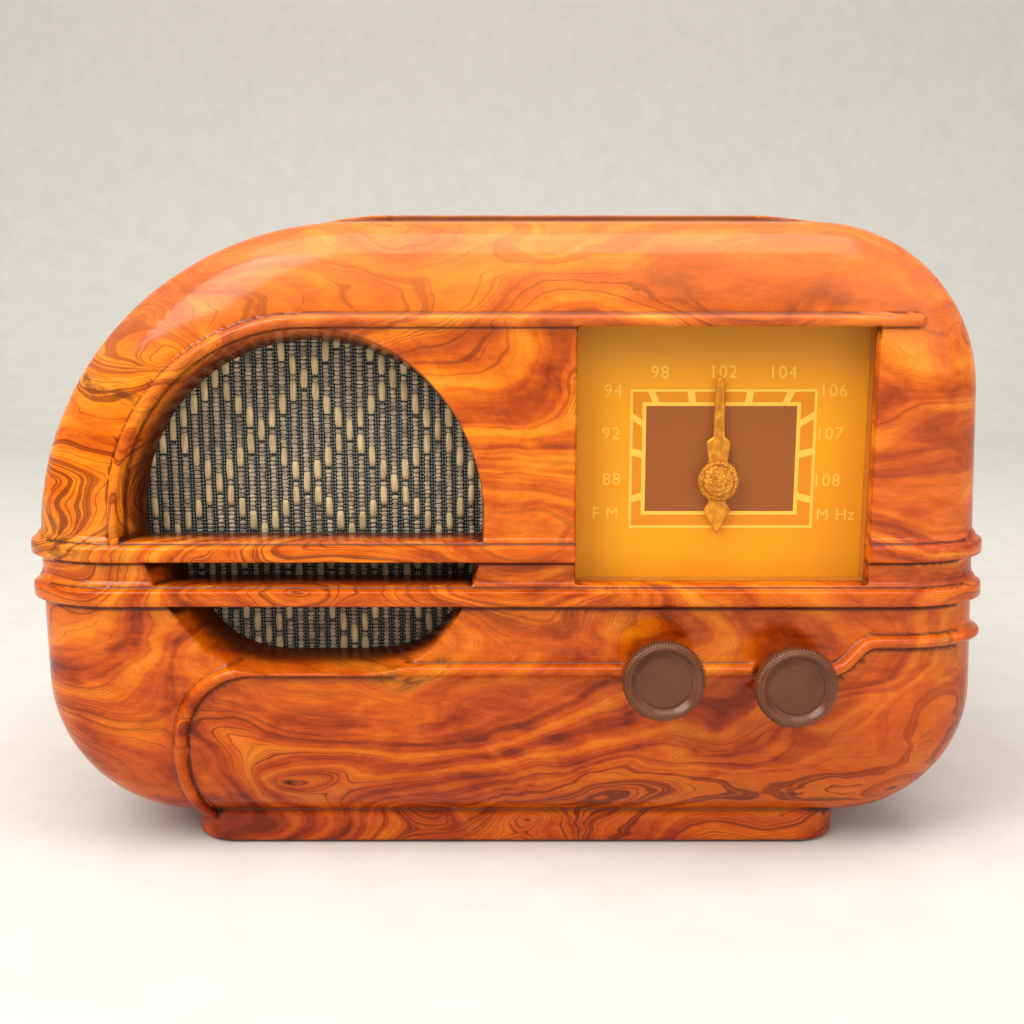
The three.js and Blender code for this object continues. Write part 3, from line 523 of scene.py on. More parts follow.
def relief_map():
    """How far the skin stands out from the plain form, over the front view, and a map of painted shade that
    is high where a place lies below its surroundings.
    """
    x = np.arange(RELIEF_SIZE[0]) * RELIEF_STEP + RELIEF_LOW[0]
    z = np.arange(RELIEF_SIZE[1]) * RELIEF_STEP + RELIEF_LOW[1]
    x, z = np.meshgrid(x, z, indexing="ij")
    height = np.zeros_like(x)

    # the panel sunk inside the trim line
    to_trim = distance_to(TRIM_LINE, x, z)
    panel = np.array([(-118.6, 80), *TRIM_LINE, (120.2, 80)])
    inner = inside_of(panel, x, z)
    fade = 1 - smooth(x, 104, 121)
    sunk = 2.2 + 0.9 * np.exp(-((to_trim - 2.6) / 1.1) ** 2)
    height -= sunk * smooth(to_trim, 0.8, 2.2) * inner * fade * (z > BAND_2[0] + 2)

    bead = 2.0 * np.maximum(1 - (to_trim / 1.9) ** 2, 0) ** 0.6
    height = np.maximum(height, np.where(to_trim < 1.9, bead, -9))

    # the panel below the bead lies a little deeper, with a groove against it
    to_loop = distance_to(LOOP, x, z)
    lower = np.vstack([LOOP, [(160, -9), (-95.5, -9)]])
    under = inside_of(lower, x, z)
    shade = smooth(to_loop, 0.5, 2.2) * under * (1 - smooth(x, 112, 132))
    height -= shade * (1.1 + 2.0 * np.exp(-((to_loop - 2.7) / 1.7) ** 2))
    # above it a narrow shelf with a fine lip runs along the bead
    over = (~under) & (z > 20)
    height += over * 0.9 * np.exp(-np.maximum(to_loop - 1.4, 0) ** 2 / 1.6) * (1 - smooth(z, 71, 75))
    profile = np.maximum(1 - (to_loop / 2.1) ** 2, 0) ** 0.6
    height = np.maximum(height, np.where(to_loop < 2.1, 2.9 * profile, -9))

    # the two bands, with a fine groove under each of them
    for low, high in (BAND_1, BAND_2):
        height -= 0.8 * np.exp(-((z - low + 1.1) / 0.8) ** 2)
        height = np.maximum(height, band_profile(z, low, high))
    for place in (VOLUME, TUNING):
        seat = 1 - smooth(np.hypot(x - place[0], z - place[1]), 9.0, 11.6)
        height = height * (1 - seat) - 0.2 * seat
    for _ in range(2):
        for axis in (0, 1):
            ahead, behind = np.roll(height, 1, axis), np.roll(height, -1, axis)
            height = 0.5 * height + 0.25 * (ahead + behind)
    # painted shade: how far each place lies below the blurred relief around it
    around = height
    for reach in (2, 4):
        for axis in (0, 1):
            around = (around + np.roll(around, reach, axis) + np.roll(around, -reach, axis)) / 3
    groove_shade_map = smooth(around - height, 0.08, 0.5)
    return height.astype(np.float32), groove_shade_map.astype(np.float32)


def relief(table, x, z):
    """The relief at any place, read smoothly from the map."""
    u = np.clip((x - RELIEF_LOW[0]) / RELIEF_STEP, 0, RELIEF_SIZE[0] - 1.001)
    v = np.clip((z - RELIEF_LOW[1]) / RELIEF_STEP, 0, RELIEF_SIZE[1] - 1.001)
    i, j = u.astype(np.int32), v.astype(np.int32)
    fu, fv = u - i, v - j
    low = table[i, j] * (1 - fu) + table[i + 1, j] * fu
    high = table[i, j + 1] * (1 - fu) + table[i + 1, j + 1] * fu
    return low * (1 - fv) + high * fv


def box(axes, low, high, r=0.0):
    """Signed distance to a box, or to a rectangle over two axes, with edges rounded by r."""
    q = [np.abs(p - (a + b) / 2) - (b - a) / 2 + r for p, a, b in zip(axes, low, high)]
    outside = np.sqrt(sum(np.maximum(c, 0) ** 2 for c in q))
    return outside + np.minimum(np.maximum.reduce(q), 0) - r


def bar(across, up, along, place, radius, low, high):
    """Signed distance to a round bar; its axis is the third coordinate given."""
    d = np.hypot(across - place[0], up - place[1]) - radius
    return np.maximum(d, np.maximum(low - along, along - high))


def grille_mouth(x, y, z):
    """The grille's opening in the front view, narrowing on its left as it goes back."""
    inward = np.clip(y / CLOTH_Y, 0, 1)
    right = np.hypot(x + 67, z - 108.6) - (59.3 - 0.8 * inward)
    upper_left = np.hypot(x + 60, z - 107.5) - (57.4 - 4.5 * inward)
    lower_left = np.hypot(x + 28.4, z - 126.4) - (88.0 - 5.5 * inward)
    left = np.where(z > 98, upper_left, lower_left)
    mouth = smooth_max(right, left, 2.0)
    sill = 63.4 - 0.16 * np.clip(CLOTH_Y - y, 0, 30) - z
    return smooth_max(mouth, sill, 9.0)


def cabinet_field(table, x, y, z):
    flat = outline(x, z)
    raised = relief(table, x, z)
    body = rolled(flat, y, 0, *ROLL) - raised
    body = smooth_max(body, y - DEPTH, 1.2)

    crest = 2.8 * smooth(x, -70, -38) * (1 - smooth(x, 74, 106)) - 0.6
    strip = box((x, y, z), (-72, 25, 186), (108, DEPTH, 203), 1.0)
    body = smooth_min(body, smooth_max(strip, flat - crest, 1.2), 1.2)
    plinth = box((x, y), (-103, 10.5), (107, 142), 14) + 1.0 * smooth(z, 8, 12.5)
    body = smooth_min(body, smooth_max(np.maximum(plinth, z - 20), -z, 0.8), 0.3)

    hollow = np.maximum(rolled(flat + WALL, y, PANEL_BACK, 20, 12), y - DEPTH - 9)
    under = np.maximum(box((x, y), (-99, 12), (103, 138), 10), np.maximum(z - 24, WALL - z))
    inside = np.minimum(hollow, under)
    shell = np.maximum(body, -inside)

    rim = np.hypot(x - CLOTH_CENTRE[0], z - CLOTH_CENTRE[1]) - 59.3
    shell = np.minimum(shell, np.maximum(rim, np.maximum(y - CLOTH_Y, 4.5 - y)))
    for places, *size in (
        (BACK_BOSSES, 5, 110, COVER_FRONT - 0.3), (BAFFLE_BOSSES, 4, 4, 17.8), (BRACKET_PLACES, 3.4, 4, 22.6),
    ):
        for place in places:
            shell = np.minimum(shell, bar(x, z, y, place, *size))
    for place in BOARD_PLACES:
        shell = np.minimum(shell, bar(x, y, z, place, 3.5, 2, 23.7))

    # the grille's mouth, crossed by the bands as two bars
    mouth = np.maximum(grille_mouth(x, y, z), y - 40)
    bars = np.minimum(
        np.maximum(BAND_1[0] - z, z - BAND_1[1] - 1.0 + 0.03 * y),
        np.maximum(BAND_2[0] - z, z - BAND_2[1] - 1.0 + 0.03 * y),
    )
    mouth = np.maximum(mouth, -np.maximum(bars, y - CLOTH_Y))
    shell = smooth_max(shell, -mouth, 0.9)

    dial = box((x, y, z), (DIAL[0], -30, DIAL[2]), (DIAL[1], 20, DIAL[3]), 0.8)
    shell = smooth_max(shell, -dial, 0.7)
    near, far = (DIAL[0] - LEDGE, PANEL_BACK, DIAL[2] - LEDGE), (DIAL[1] + LEDGE, 22, DIAL[3] + LEDGE)
    pocket = box((x, y, z), near, far)
    shell = np.maximum(shell, -pocket)

    for place in (VOLUME, TUNING):
        shell = smooth_max(shell, -bar(x, z, y, place, 6.8, -30, 1.5), 0.5)
        shell = np.maximum(shell, -bar(x, z, y, place, 4.8, -30, 12))
    for place in BACK_BOSSES:
        shell = np.maximum(shell, -bar(x, z, y, place, 1.6, 125, 143))
    for place in FOOT_PLACES:
        shell = np.maximum(shell, -bar(x, y, z, place, 6.3, -5, 1.2))
    return shell


def corner_point(corner, degrees):
    x, z, r = corner
    a = np.radians(degrees)
    return x + (r - 8) * np.cos(a), z + (r - 8) * np.sin(a)


BACK_BOSSES = [corner_point(c, a) for c, a in zip(CORNERS, (225, 315, 45, 135))]
BAFFLE_BOSSES = [
    (CLOTH_CENTRE[0] + 66 * np.cos(np.radians(a)), CLOTH_CENTRE[1] + 66 * np.sin(np.radians(a)))
    for a in (20, 160, 200, 340)
]
BRACKET_PLACES = [(12, 150), (115.5, 80), (12, 80), (115.5, 150)]
BOARD_PLACES = [(-32, 126), (94, 64), (-32, 64), (94, 126)]
FOOT_PLACES = [(-86, 21), (94, 21), (-86, 129), (94, 129)]


def mesh_field(field, low, high, step, adaptivity):
    """Meshes a field: it is sampled only in the blocks that the surface can pass through."""
    block = 8
    counts = [int(np.ceil((b - a) / (step * block))) for a, b in zip(low, high)]
    centres = [a + (np.arange(n) + 0.5) * block * step for a, n in zip(low, counts)]
    cx, cy, cz = (c.ravel().astype(np.float32) for c in np.meshgrid(*centres, indexing="ij"))
    rough = field(cx, cy, cz)
    background = 3 * step
    values = np.repeat(np.repeat(np.repeat(
        np.where(rough < 0, -background, background).astype(np.float32).reshape(counts),
        block, 0), block, 1), block, 2)
    near = np.flatnonzero(np.abs(rough) < block * step * 0.9 + 3.2)
    within = (np.arange(block) + 0.5) * step
    ox, oy, oz = (o.ravel().astype(np.float32) for o in np.meshgrid(within, within, within, indexing="ij"))
    half = block * step / 2
    for start in range(0, len(near), 3000):
        some = near[start:start + 3000]
        x = (cx[some, None] - half + ox).astype(np.float32)
        y = (cy[some, None] - half + oy).astype(np.float32)
        z = (cz[some, None] - half + oz).astype(np.float32)
        sampled = np.clip(field(x.ravel(), y.ravel(), z.ravel()), -background, background)
        sampled = sampled.reshape(len(some), block, block, block)
        for one, (i, j, k) in zip(sampled, zip(*np.unravel_index(some, counts))):
            values[i * block:(i + 1) * block, j * block:(j + 1) * block, k * block:(k + 1) * block] = one
    grid = openvdb.FloatGrid(background)
    grid.copyFromArray(values)
    points, triangles, quads = grid.convertToPolygons(0.0, adaptivity)
    points = points * step + (np.array(low) + step / 2)
    return points, triangles, quads


def gradient(field, points, reach=0.3):
    parts = []
    for axis in range(3):
        ahead, behind = points.copy(), points.copy()
        ahead[:, axis] += reach
        behind[:, axis] -= reach
        parts.append((field(*ahead.T) - field(*behind.T)) / (2 * reach))
    return np.stack(parts, axis=1)


def unit(vectors):
    return vectors / (np.linalg.norm(vectors, axis=1)[:, None] + 1e-9)


def corner_normals(field, mesh, points):
    """The field's own normal at each face corner, read a little inside the larger faces."""
    corner = np.zeros(len(mesh.loops), np.int32)
    mesh.loops.foreach_get("vertex_index", corner)
    total = np.zeros(len(mesh.polygons), np.int32)
    mesh.polygons.foreach_get("loop_total", total)
    face = np.repeat(np.arange(len(total)), total)
    centre = np.stack([np.bincount(face, points[corner, axis]) for axis in range(3)], 1) / total[:, None]
    inward = centre[face] - points[corner]
    length = np.linalg.norm(inward, axis=1)
    reach = 0.75 * smooth(length, 0.6, 1.4)
    return unit(gradient(field, points[corner] + inward * (reach / (length + 1e-9))[:, None]))


def cabinet_mesh():
    table, groove_shade_map = relief_map()

    def field(x, y, z):
        return cabinet_field(table, x, y, z)

    step = 0.7
    points, triangles, quads = mesh_field(field, (-156, -8, -3), (156, 156, 204), step, 0.03)
    points = points.astype(np.float64)
    for _ in range(3):
        slope = gradient(field, points)
        size = np.maximum((slope ** 2).sum(1), 0.25)
        move = -(field(*points.T) / size)[:, None] * slope
        points += np.clip(move, -0.4 * step, 0.4 * step)
    normals = unit(gradient(field, points))
    # painted shade for the burl: higher where the field closes in round a place, deeper in the grille's mouth
    # and in the relief's recesses
    hollow = np.zeros(len(points))
    for reach in (0.8, 1.8, 4.0):
        hollow += np.clip(1 - field(*(points + normals * reach).T) / reach, 0, 1) / 3
    # painted shade: the deeper a place lies in the grille's mouth, the darker it is painted
    in_mouth = np.hypot(points[:, 0] - CLOTH_CENTRE[0], points[:, 2] - CLOTH_CENTRE[1]) < MOUTH_REACH
    hollow = np.maximum(hollow, 0.40 * in_mouth * smooth(points[:, 1], 0.5, 12))
    painted_groove_shade = relief(groove_shade_map, points[:, 0], points[:, 2]) * (points[:, 1] < PANEL_BACK)
    hollow = np.maximum(hollow, 0.40 * painted_groove_shade)
    faces = [tuple(f) for f in triangles] + [tuple(f) for f in quads]
    mesh = bpy.data.meshes.new("cabinet_shell")
    mesh.from_pydata((points * MM + np.array(ORIGIN)).tolist(), [], faces)
    check = mesh.polygons[0]
    outward = np.array(check.normal) @ normals[check.vertices[0]]
    if outward < 0:
        mesh.flip_normals()
    mesh.shade_smooth()
    mesh.normals_split_custom_set(corner_normals(field, mesh, points).tolist())
    # the painted shade goes to the burl finish as the hollow attribute
    attribute = mesh.attributes.new("hollow", "FLOAT", "POINT")
    attribute.data.foreach_set("value", hollow.astype(np.float32))
    return mesh


# ---- turned and cut pieces
def turned(name, place, profile, material, sides=96, ripple=None, **where):
    """A profile of (radius, y) turned about a line along Y; ripple(radius, y, angle) moves the radius."""
    points, faces = [], []
    for radius, y in profile:
        for i in range(sides):
            angle = 2 * np.pi * i / sides
            r = radius + (ripple(radius, y, angle) if ripple else 0)
            points.append((place[0] + r * np.cos(angle), y, place[1] + r * np.sin(angle)))
    rows = len(profile)
    for row in range(rows - 1):
        for i in range(sides):
            a, b = row * sides + i, row * sides + (i + 1) % sides
            faces.append((a, a + sides, b + sides, b))
    faces.append(tuple(range(sides)))
    faces.append(tuple(range((rows - 1) * sides, rows * sides))[::-1])
    piece = make_object(name, points, faces, material, **where)
    tidy_normals(piece)
    return piece


def tidy_normals(piece):
    shape = bmesh.new()
    shape.from_mesh(piece.data)
    bmesh.ops.remove_doubles(shape, verts=shape.verts, dist=1e-7)
    bmesh.ops.recalc_face_normals(shape, faces=shape.faces)
    shape.to_mesh(piece.data)
    shape.free()


def knob(name, place, body):
    """Knurled rim ring, rounded bezel, and a slightly dished face."""
    def knurl(radius, y, angle):
        if radius < 11.7 or not -14.8 < y < -11.6:
            return 0
        twist = angle * 84 + (y + 13) * 1.6
        return (0.5 if radius > 12 else 0.22) * (abs((twist / np.pi) % 2 - 1) * 2 - 1)

    profile = [
        (3.3, -1.2), (7.6, -1.2), (7.9, -1.5), (7.9, -5), (7.9, -9.8), (8.6, -10.8), (11.3, -11.3),
        (11.8, -11.5), (12.0, -11.7), (12.1, -12.2), (12.1, -13), (12.1, -13.8), (12.05, -14.3),
        (11.75, -14.75),
        (11.35, -15.0), (11.2, -15.1), (11.12, -15.4), (10.95, -15.75), (10.65, -15.93), (10.3, -15.8),
        (9.5, -15.0), (8.8, -14.3), (8.5, -14.1), (8.3, -14.15), (8.1, -14.3), (7.7, -14.38), (5, -14.44),
        (2.5, -14.47), (0.05, -14.48),
    ]
    back = [(3.3, -1.2), (3.3, -9.9), (0.05, -10.0)]
    whole = back[::-1] + profile[1:]
    return turned(name, place, whole, KNOB, sides=384, ripple=knurl, node=name.replace("_shape", ""),
                  body=body, slot="knob_brown")


def raised_plate(name, outline_points, levels, material, **where):
    """A flat shape built from its outline: levels are (inset, y) from the back face to the front."""
    ring = np.array(outline_points, float)
    following = np.roll(ring, -1, 0)
    if np.sum(ring[:, 0] * following[:, 1] - following[:, 0] * ring[:, 1]) < 0:
        ring = ring[::-1]
    along = unit(unit(np.roll(ring, -1, 0) - ring) + unit(ring - np.roll(ring, 1, 0)))
    left = np.stack([-along[:, 1], along[:, 0]], 1)
    count = len(ring)
    points, faces = [], []
    for inset, y in levels:
        points += [(p[0], y, p[1]) for p in ring + left * inset]
    for row in range(len(levels) - 1):
        for i in range(count):
            a, b = row * count + i, row * count + (i + 1) % count
            faces.append((a, b, b + count, a + count))
    faces.append(tuple(range(count))[::-1])
    faces.append(tuple(range((len(levels) - 1) * count, len(levels) * count)))
    piece = make_object(name, points, faces, material, smooth=False, **where)
    tidy_normals(piece)
    piece.data.shade_smooth()
    piece.data.set_sharp_from_angle(angle=np.radians(38))
    return piece


def pointer_piece():
    """A blade with a ridge, a shouldered collar, a round boss and a spade tail."""
    hx, hz = HUB
    right = [(0.35, 31.8), (0.9, 30.9), (1.3, 29.4), (1.55, 26.5), (1.62, 22), (1.68, 13.6), (2.6, 12.9),
             (3.55, 12.1), (3.7, 11.3), (3.2, 8.2), (2.9, 6.3)]
    boss = [(5.95 * np.cos(a), 5.95 * np.sin(a)) for a in np.linspace(np.radians(58), np.radians(-58), 17)]
    tail = [(2.7, -6.2), (2.85, -7.2), (3.9, -8.6), (4.05, -9.3), (3.4, -10.9), (2.1, -13.2),
            (0.9, -15.6), (0.4, -16.3)]
    side = right + boss + tail
    points = [(hx + x, hz + z) for x, z in side] + [(hx - x, hz + z) for x, z in reversed(side)]
    return raised_plate(
        "pointer_hand", points, [(0, 11.2), (0, 10.75), (0.45, 10.28), (0.8, 10.22)], GILT,
        node="pointer", body="needle", slot="gilt",
    )


def hub_piece():
    y = 9.9
    profile = [
        (0.05, y), (6.25, y), (6.4, y - 0.25), (6.25, y - 0.75), (5.75, y - 1.05), (5.2, y - 1.12),
        (5.0, y - 1.0), (4.9, y - 0.95), (4.75, y - 1.35), (4.45, y - 1.75), (4.1, y - 1.9),
        (3.8, y - 1.86), (3.4, y - 1.95), (2.2, y - 2.08), (1, y - 2.15), (0.05, y - 2.17),
    ]
    return turned("hub_cap_turned", HUB, profile, GILT_CHASED, sides=96, node="pointer_hub_cap",
                  body="needle", slot="gilt")


# ---- dial print
PRINT_Y = 12.5


class Relief:
    """Thin printed shapes, gathered into one mesh."""

    def __init__(self, thick):
        self.thick = thick
        self.points, self.faces = [], []

    def polygon(self, corners, lower=0.0):
        start = len(self.points)
        n = len(corners)
        self.points += [(x, PRINT_Y - self.thick + lower, z) for x, z in corners]
        self.points += [(x, PRINT_Y, z) for x, z in corners]
        self.faces.append(tuple(range(start, start + n)))
        self.faces.append(tuple(range(start + 2 * n - 1, start + n - 1, -1)))
        for i in range(n):
            j = (i + 1) % n
            self.faces.append((start + i, start + n + i, start + n + j, start + j))

    def frame(self, x0, z0, x1, z1, width):
        for a, b, c, d in (
            (x0, z0, x1, z0 + width), (x0, z1 - width, x1, z1),
            (x0, z0 + width, x0 + width, z1 - width), (x1 - width, z0 + width, x1, z1 - width),
        ):
            self.polygon([(a, b), (c, b), (c, d), (a, d)])

    def text(self, words, x, z, size, spacing=1.08):
        data = bpy.data.curves.new("figures", "FONT")
        data.body = words
        data.size = size
        data.align_x = "CENTER"
        data.align_y = "CENTER"
        data.space_character = spacing
        data.extrude = self.thick / 2
        data.resolution_u = 4
        figure = bpy.data.objects.new("figures", data)
        SCENE.collection.objects.link(figure)
        bpy.context.view_layer.update()
        shape = bpy.data.meshes.new_from_object(figure)
        start = len(self.points)
        for v in shape.vertices:
            self.points.append((x + v.co.x, PRINT_Y - self.thick / 2 - v.co.z, z + v.co.y))
        for face in shape.polygons:
            self.faces.append(tuple(start + i for i in face.vertices))
        bpy.data.objects.remove(figure)
        bpy.data.curves.remove(data)
        bpy.data.meshes.remove(shape)

    def piece(self, name, material):
        return make_object(name, self.points, self.faces, material, smooth=False, slot="amber_dial")


def dial_print():
    pale = Relief(0.16)
    outer, inner = (36.8, 103.0, 93.8, 146.1), (40.6, 107.2, 88.9, 142.1)
    x0, z0, x1, z1 = outer
    a0, b0, a1, b1 = inner
    pale.frame(*outer, 0.85)
    pale.frame(*inner, 1.15)
    centre = (HUB[0], HUB[1] + 1.5)
    half = 1.1
    for x in (44.6, 55.8, 72.8, 84.4):
        lean = (x - centre[0]) / (z1 - centre[1]) * (z1 - b1) * 0.55
        pale.polygon([(x - half, b1), (x + half, b1), (x + half + lean, z1), (x - half + lean, z1)], 0.02)
    for far, near in ((x0, a0), (x1, a1)):
        for z in (135.6, 126.0, 113.0):
            lean = (z - centre[1]) / abs(near - centre[0]) * abs(near - far)
            corners = [(far, z - half + lean), (near, z - half), (near, z + half), (far, z + half + lean)]
            pale.polygon(corners if far < near else corners[::-1], 0.02)
    for words, x, z in (
        ("88", 31.4, 118.2), ("92", 31.1, 132.3), ("94", 31.6, 145.5), ("98", 45.7, 151.0),
        ("102", 64.9, 151.2), ("104", 83.0, 151.0), ("106", 98.6, 145.5), ("107", 97.9, 132.3),
        ("108", 97.6, 117.8),
    ):
        pale.text(words, x, z, 5.4, 1.12)
    pale.text("F M", 29.6, 107.5, 5.2)
    pale.text("M Hz", 100.9, 107.1, 5.2)
    pale.piece("dial_figures", PRINT_PALE)

    window = Relief(0.06)
    window.polygon([(41.0, 107.6), (88.5, 107.6), (88.5, 141.7), (41.0, 141.7)])
    window.piece("dial_window", PRINT_BROWN)

    band = Relief(0.05)
    for corners in (
        [(x0, z0), (x1, z0), (a1, b0), (a0, b0)], [(a0, b1), (a1, b1), (x1, z1), (x0, z1)],
        [(x0, z0), (a0, b0), (a0, b1), (x0, z1)], [(a1, b0), (x1, z0), (x1, z1), (a1, b1)],
    ):
        band.polygon(corners)
    band.piece("dial_border", PRINT_ORANGE)


# ---- grille cloth
GROUND_Y = 17.62
YARN_Y = 17.30
RIB = 3.42
CLOTH_R = 58.2
STRAW = 6.1
DIAMOND = (8, 4.07, 32.6)


def cloth_pieces():
    """The stretched ground cloth, with its straw bars and thread-wrapped ribs woven on it."""
    cx, cz = CLOTH_CENTRE
    rows = 40
    points, faces = [(cx, GROUND_Y, cz)], []
    around = 120
    for ring in range(1, rows + 1):
        r = CLOTH_R * ring / rows
        for i in range(around):
            a = 2 * np.pi * i / around
            wave = 0.04 * np.sin(r * 0.7 + a * 3)
            points.append((cx + r * np.cos(a), GROUND_Y + wave, cz + r * np.sin(a)))
    for i in range(around):
        faces.append((0, 1 + i, 1 + (i + 1) % around))
    for ring in range(rows - 1):
        for i in range(around):
            a, b = 1 + ring * around + i, 1 + ring * around + (i + 1) % around
            faces.append((a, a + around, b + around, b))
    ground = make_object("cloth_ground", points, faces, GROUND, node="grille_cloth", slot="grille_cloth")

    rng = np.random.default_rng(7)
    straw, wrapped = ([], []), ([], [])

    def strand(store, x, low, high, width, depth, taper, twist):
        start = len(store[0])
        sides, rings = 8, 5
        for k in range(rings):
            t = k / (rings - 1)
            grow = 1 - taper * abs(2 * t - 1) ** 3
            z = low + (high - low) * t
            for i in range(sides):
                a = 2 * np.pi * i / sides
                c, s = np.cos(a), np.sin(a)
                px = x + width / 2 * grow * np.sign(c) * abs(c) ** 0.7 + twist * (t - 0.5)
                py = YARN_Y - depth * grow * np.sign(s) * abs(s) ** 0.8
                store[0].append((px, py, z))
        for k in range(rings - 1):
            for i in range(sides):
                a, b = start + k * sides + i, start + k * sides + (i + 1) % sides
                store[1].append((a, b, b + sides, a + sides))
        store[1].append(tuple(range(start, start + sides))[::-1])
        end = start + (rings - 1) * sides
        store[1].append(tuple(range(end, end + sides)))

    half = int(CLOTH_R / RIB)
    for column in range(-half, half + 1):
        x = cx + column * RIB
        reach = np.sqrt(max(57.0 ** 2 - (x - cx) ** 2, 0))
        if reach < 3:
            continue
        step = min(column % DIAMOND[0], DIAMOND[0] - column % DIAMOND[0])
        bars = set()
        for n in range(-3, 4):
            for sign in (-1, 1):
                bars.add(round(cz + 8 + n * DIAMOND[2] + sign * step * DIAMOND[1], 3))
        z = cz - reach
        bars = sorted(b for b in bars if abs(b - cz) < reach - STRAW / 2)
        for centre in bars + [None]:
            stop = cz + reach if centre is None else centre - STRAW / 2
            while z + 1.25 < stop:
                pitch = 1.28 + rng.uniform(-0.1, 0.22)
                size = 1.85 + rng.uniform(-0.2, 0.2)
                strand(wrapped, x + rng.uniform(-0.08, 0.08), z + 0.12, z + pitch - 0.1, size, 0.40, 0.4, 0)
                z += pitch
            if centre is not None:
                wide = 2.05 + rng.uniform(-0.18, 0.22)
                end = centre + STRAW / 2 + rng.uniform(-0.4, 0.4)
                strand(straw, x, max(z, stop) + 0.1, end, wide, 0.47, 0.22, rng.uniform(-0.2, 0.2))
                z = end + 0.1
    bars = make_object("cloth_straw", *straw, STRAW_YARN, slot="grille_cloth")
    ribs = make_object("cloth_ribs", *wrapped, RIB_YARN, slot="grille_cloth")


# ---- more finishes
def ground_finish():
    """Dark green-black open weave with rows of small dots."""
    t = Tree("cloth_ground")
    x, _, z = t.split(t.coords(scale=(1000, 1000, 1000)))
    warp = t.math("ABSOLUTE", t.math("SINE", t.times(x, np.pi / 0.86)))
    weft = t.math("ABSOLUTE", t.math("SINE", t.times(z, np.pi / 1.05)))
    dot = t.times(warp, weft)
    fibre = t.noise(t.coords(), 1500.0, 3.0, 0.6)
    shade = t.ramp(dot, ((0.25, srgb(12, 15, 17)), (0.62, srgb(50, 66, 68)), (0.90, srgb(166, 172, 156))))
    shade = t.mix(t.remap(fibre, 0.3, 0.7, 0.0, 0.4), shade, srgb(20, 26, 28))
    return t.finish(shade, 0.8, t.bump(dot, 0.0003, 0.9), Sheen_Weight=0.2)


def yarn_finish(name, dark, pale, streak):
    t = Tree(name)
    fibre = t.noise(t.coords(scale=streak), 900.0, 3.0, 0.6)
    cloud = t.noise(t.coords(), 120.0, 2.0)
    tone = t.math("MULTIPLY_ADD", fibre, 0.65, t.times(cloud, 0.35))
    shade = t.ramp(tone, ((0.32, dark), (0.66, pale)))
    return t.finish(shade, 0.62, t.bump(fibre, 0.0002, 0.8), Sheen_Weight=0.3)


def rib_finish():
    t = Tree("rib_yarn")
    z = t.split(t.coords(scale=(1000, 1000, 1000)))[2]
    wrap = t.math("SINE", t.times(z, 15.0))
    tint = t.noise(t.coords(), 260.0, 2.0)
    tone = t.plus(t.times(wrap, 0.16), tint)
    stops = (0.25, srgb(64, 62, 58)), (0.41, srgb(172, 154, 126)), (0.57, srgb(236, 214, 178))
    shade = t.ramp(tone, stops)
    return t.finish(shade, 0.7, t.bump(wrap, 0.00025, 0.8), Sheen_Weight=0.3)


def dial_finish():
    """Amber sheet with a painted haze: paler and cloudier at the left and the top, as seen through a hazy
    window.
    """
    t = Tree("amber_dial")
    where = t.coords()
    x, _, z = t.split(where)
    cloud = t.noise(where, 22.0, 3.0, 0.5)
    low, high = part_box("dial_plate")
    left = t.remap(t.math("MULTIPLY_ADD", cloud, 0.006, x), low.x + 0.002, low.x + 0.022, 1.0, 0.0)
    top = t.remap(t.math("MULTIPLY_ADD", cloud, 0.008, z), high.z - 0.024, high.z + 0.004)
    # painted haze: a paler, greyer colour at the left and top edges stands in for reflection on the window in
    # front
    haze = t.math("MAXIMUM", t.times(left, 0.4), t.times(top, 0.8))
    shade = t.ramp(cloud, ((0.35, srgb(238, 152, 3)), (0.65, srgb(247, 166, 8))))
    shade = t.mix(haze, shade, srgb(206, 142, 54))
    fine = t.noise(where, 1400.0, 2.0)
    return t.finish(shade, 0.5, t.bump(fine, 0.000005, 0.3), Specular_IOR_Level=0.12)


def print_finish(name, color, wear):
    t = Tree(name)
    speckle = t.noise(t.coords(), 1500.0, 3.0, 0.7)
    shade = t.mix(t.remap(speckle, 0.45, 0.75, 0.0, wear), color, tuple(c * 0.55 for c in color))
    return t.finish(shade, 0.5, t.bump(speckle, 0.000006, 0.3), Specular_IOR_Level=0.15)


def gilt_finish(name, chased):
    """Gilt brass, with fine tarnish; chased has small stamped marks."""
    t = Tree(name)
    where = t.coords()
    cloud = t.noise(where, 420.0, 4.0, 0.6)
    stops = (0.3, srgb(196, 112, 10)), (0.55, srgb(230, 148, 20)), (0.75, srgb(248, 182, 52))
    shade = t.ramp(cloud, stops)
    height = t.noise(where, 900.0, 3.0, 0.6)
    if chased:
        stamped = t.cells(where, 800.0, feature="DISTANCE_TO_EDGE")
        # painted shade: darker in the crevices between the stamped marks
        shade = t.mix(t.remap(stamped, 0.02, 0.16, 0.55, 0.0), shade, srgb(112, 58, 4))
        height = t.plus(t.times(stamped, 3.0), height)
    normal = t.bump(height, 0.00025 if chased else 0.00003, 0.8)
    return t.finish(shade, t.remap(cloud, 0.3, 0.7, 0.30, 0.44), normal, Metallic=0.55)


def board_finish():
    """Brown phenolic paper board with paler copper tracks showing through."""
    t = Tree("circuit_board")
    where = t.coords()
    fibre = t.noise(where, 500.0, 4.0, 0.6)
    shade = t.ramp(fibre, ((0.3, srgb(120, 76, 34)), (0.7, srgb(164, 112, 58))))
    tracks = t.cells(where, 120.0, feature="DISTANCE_TO_EDGE")
    shade = t.mix(t.remap(tracks, 0.03, 0.05, 0.5, 0.0), shade, srgb(196, 140, 70))
    return t.finish(shade, 0.45, t.bump(tracks, 0.0001, 0.3))


def floor_finish():
    t = Tree("floor")
    grain = t.noise(t.coords(), 40.0, 4.0, 0.6)
    shade = t.ramp(grain, ((0.3, srgb(206, 204, 198)), (0.7, srgb(213, 211, 205))))
    return t.finish(shade, 0.75)


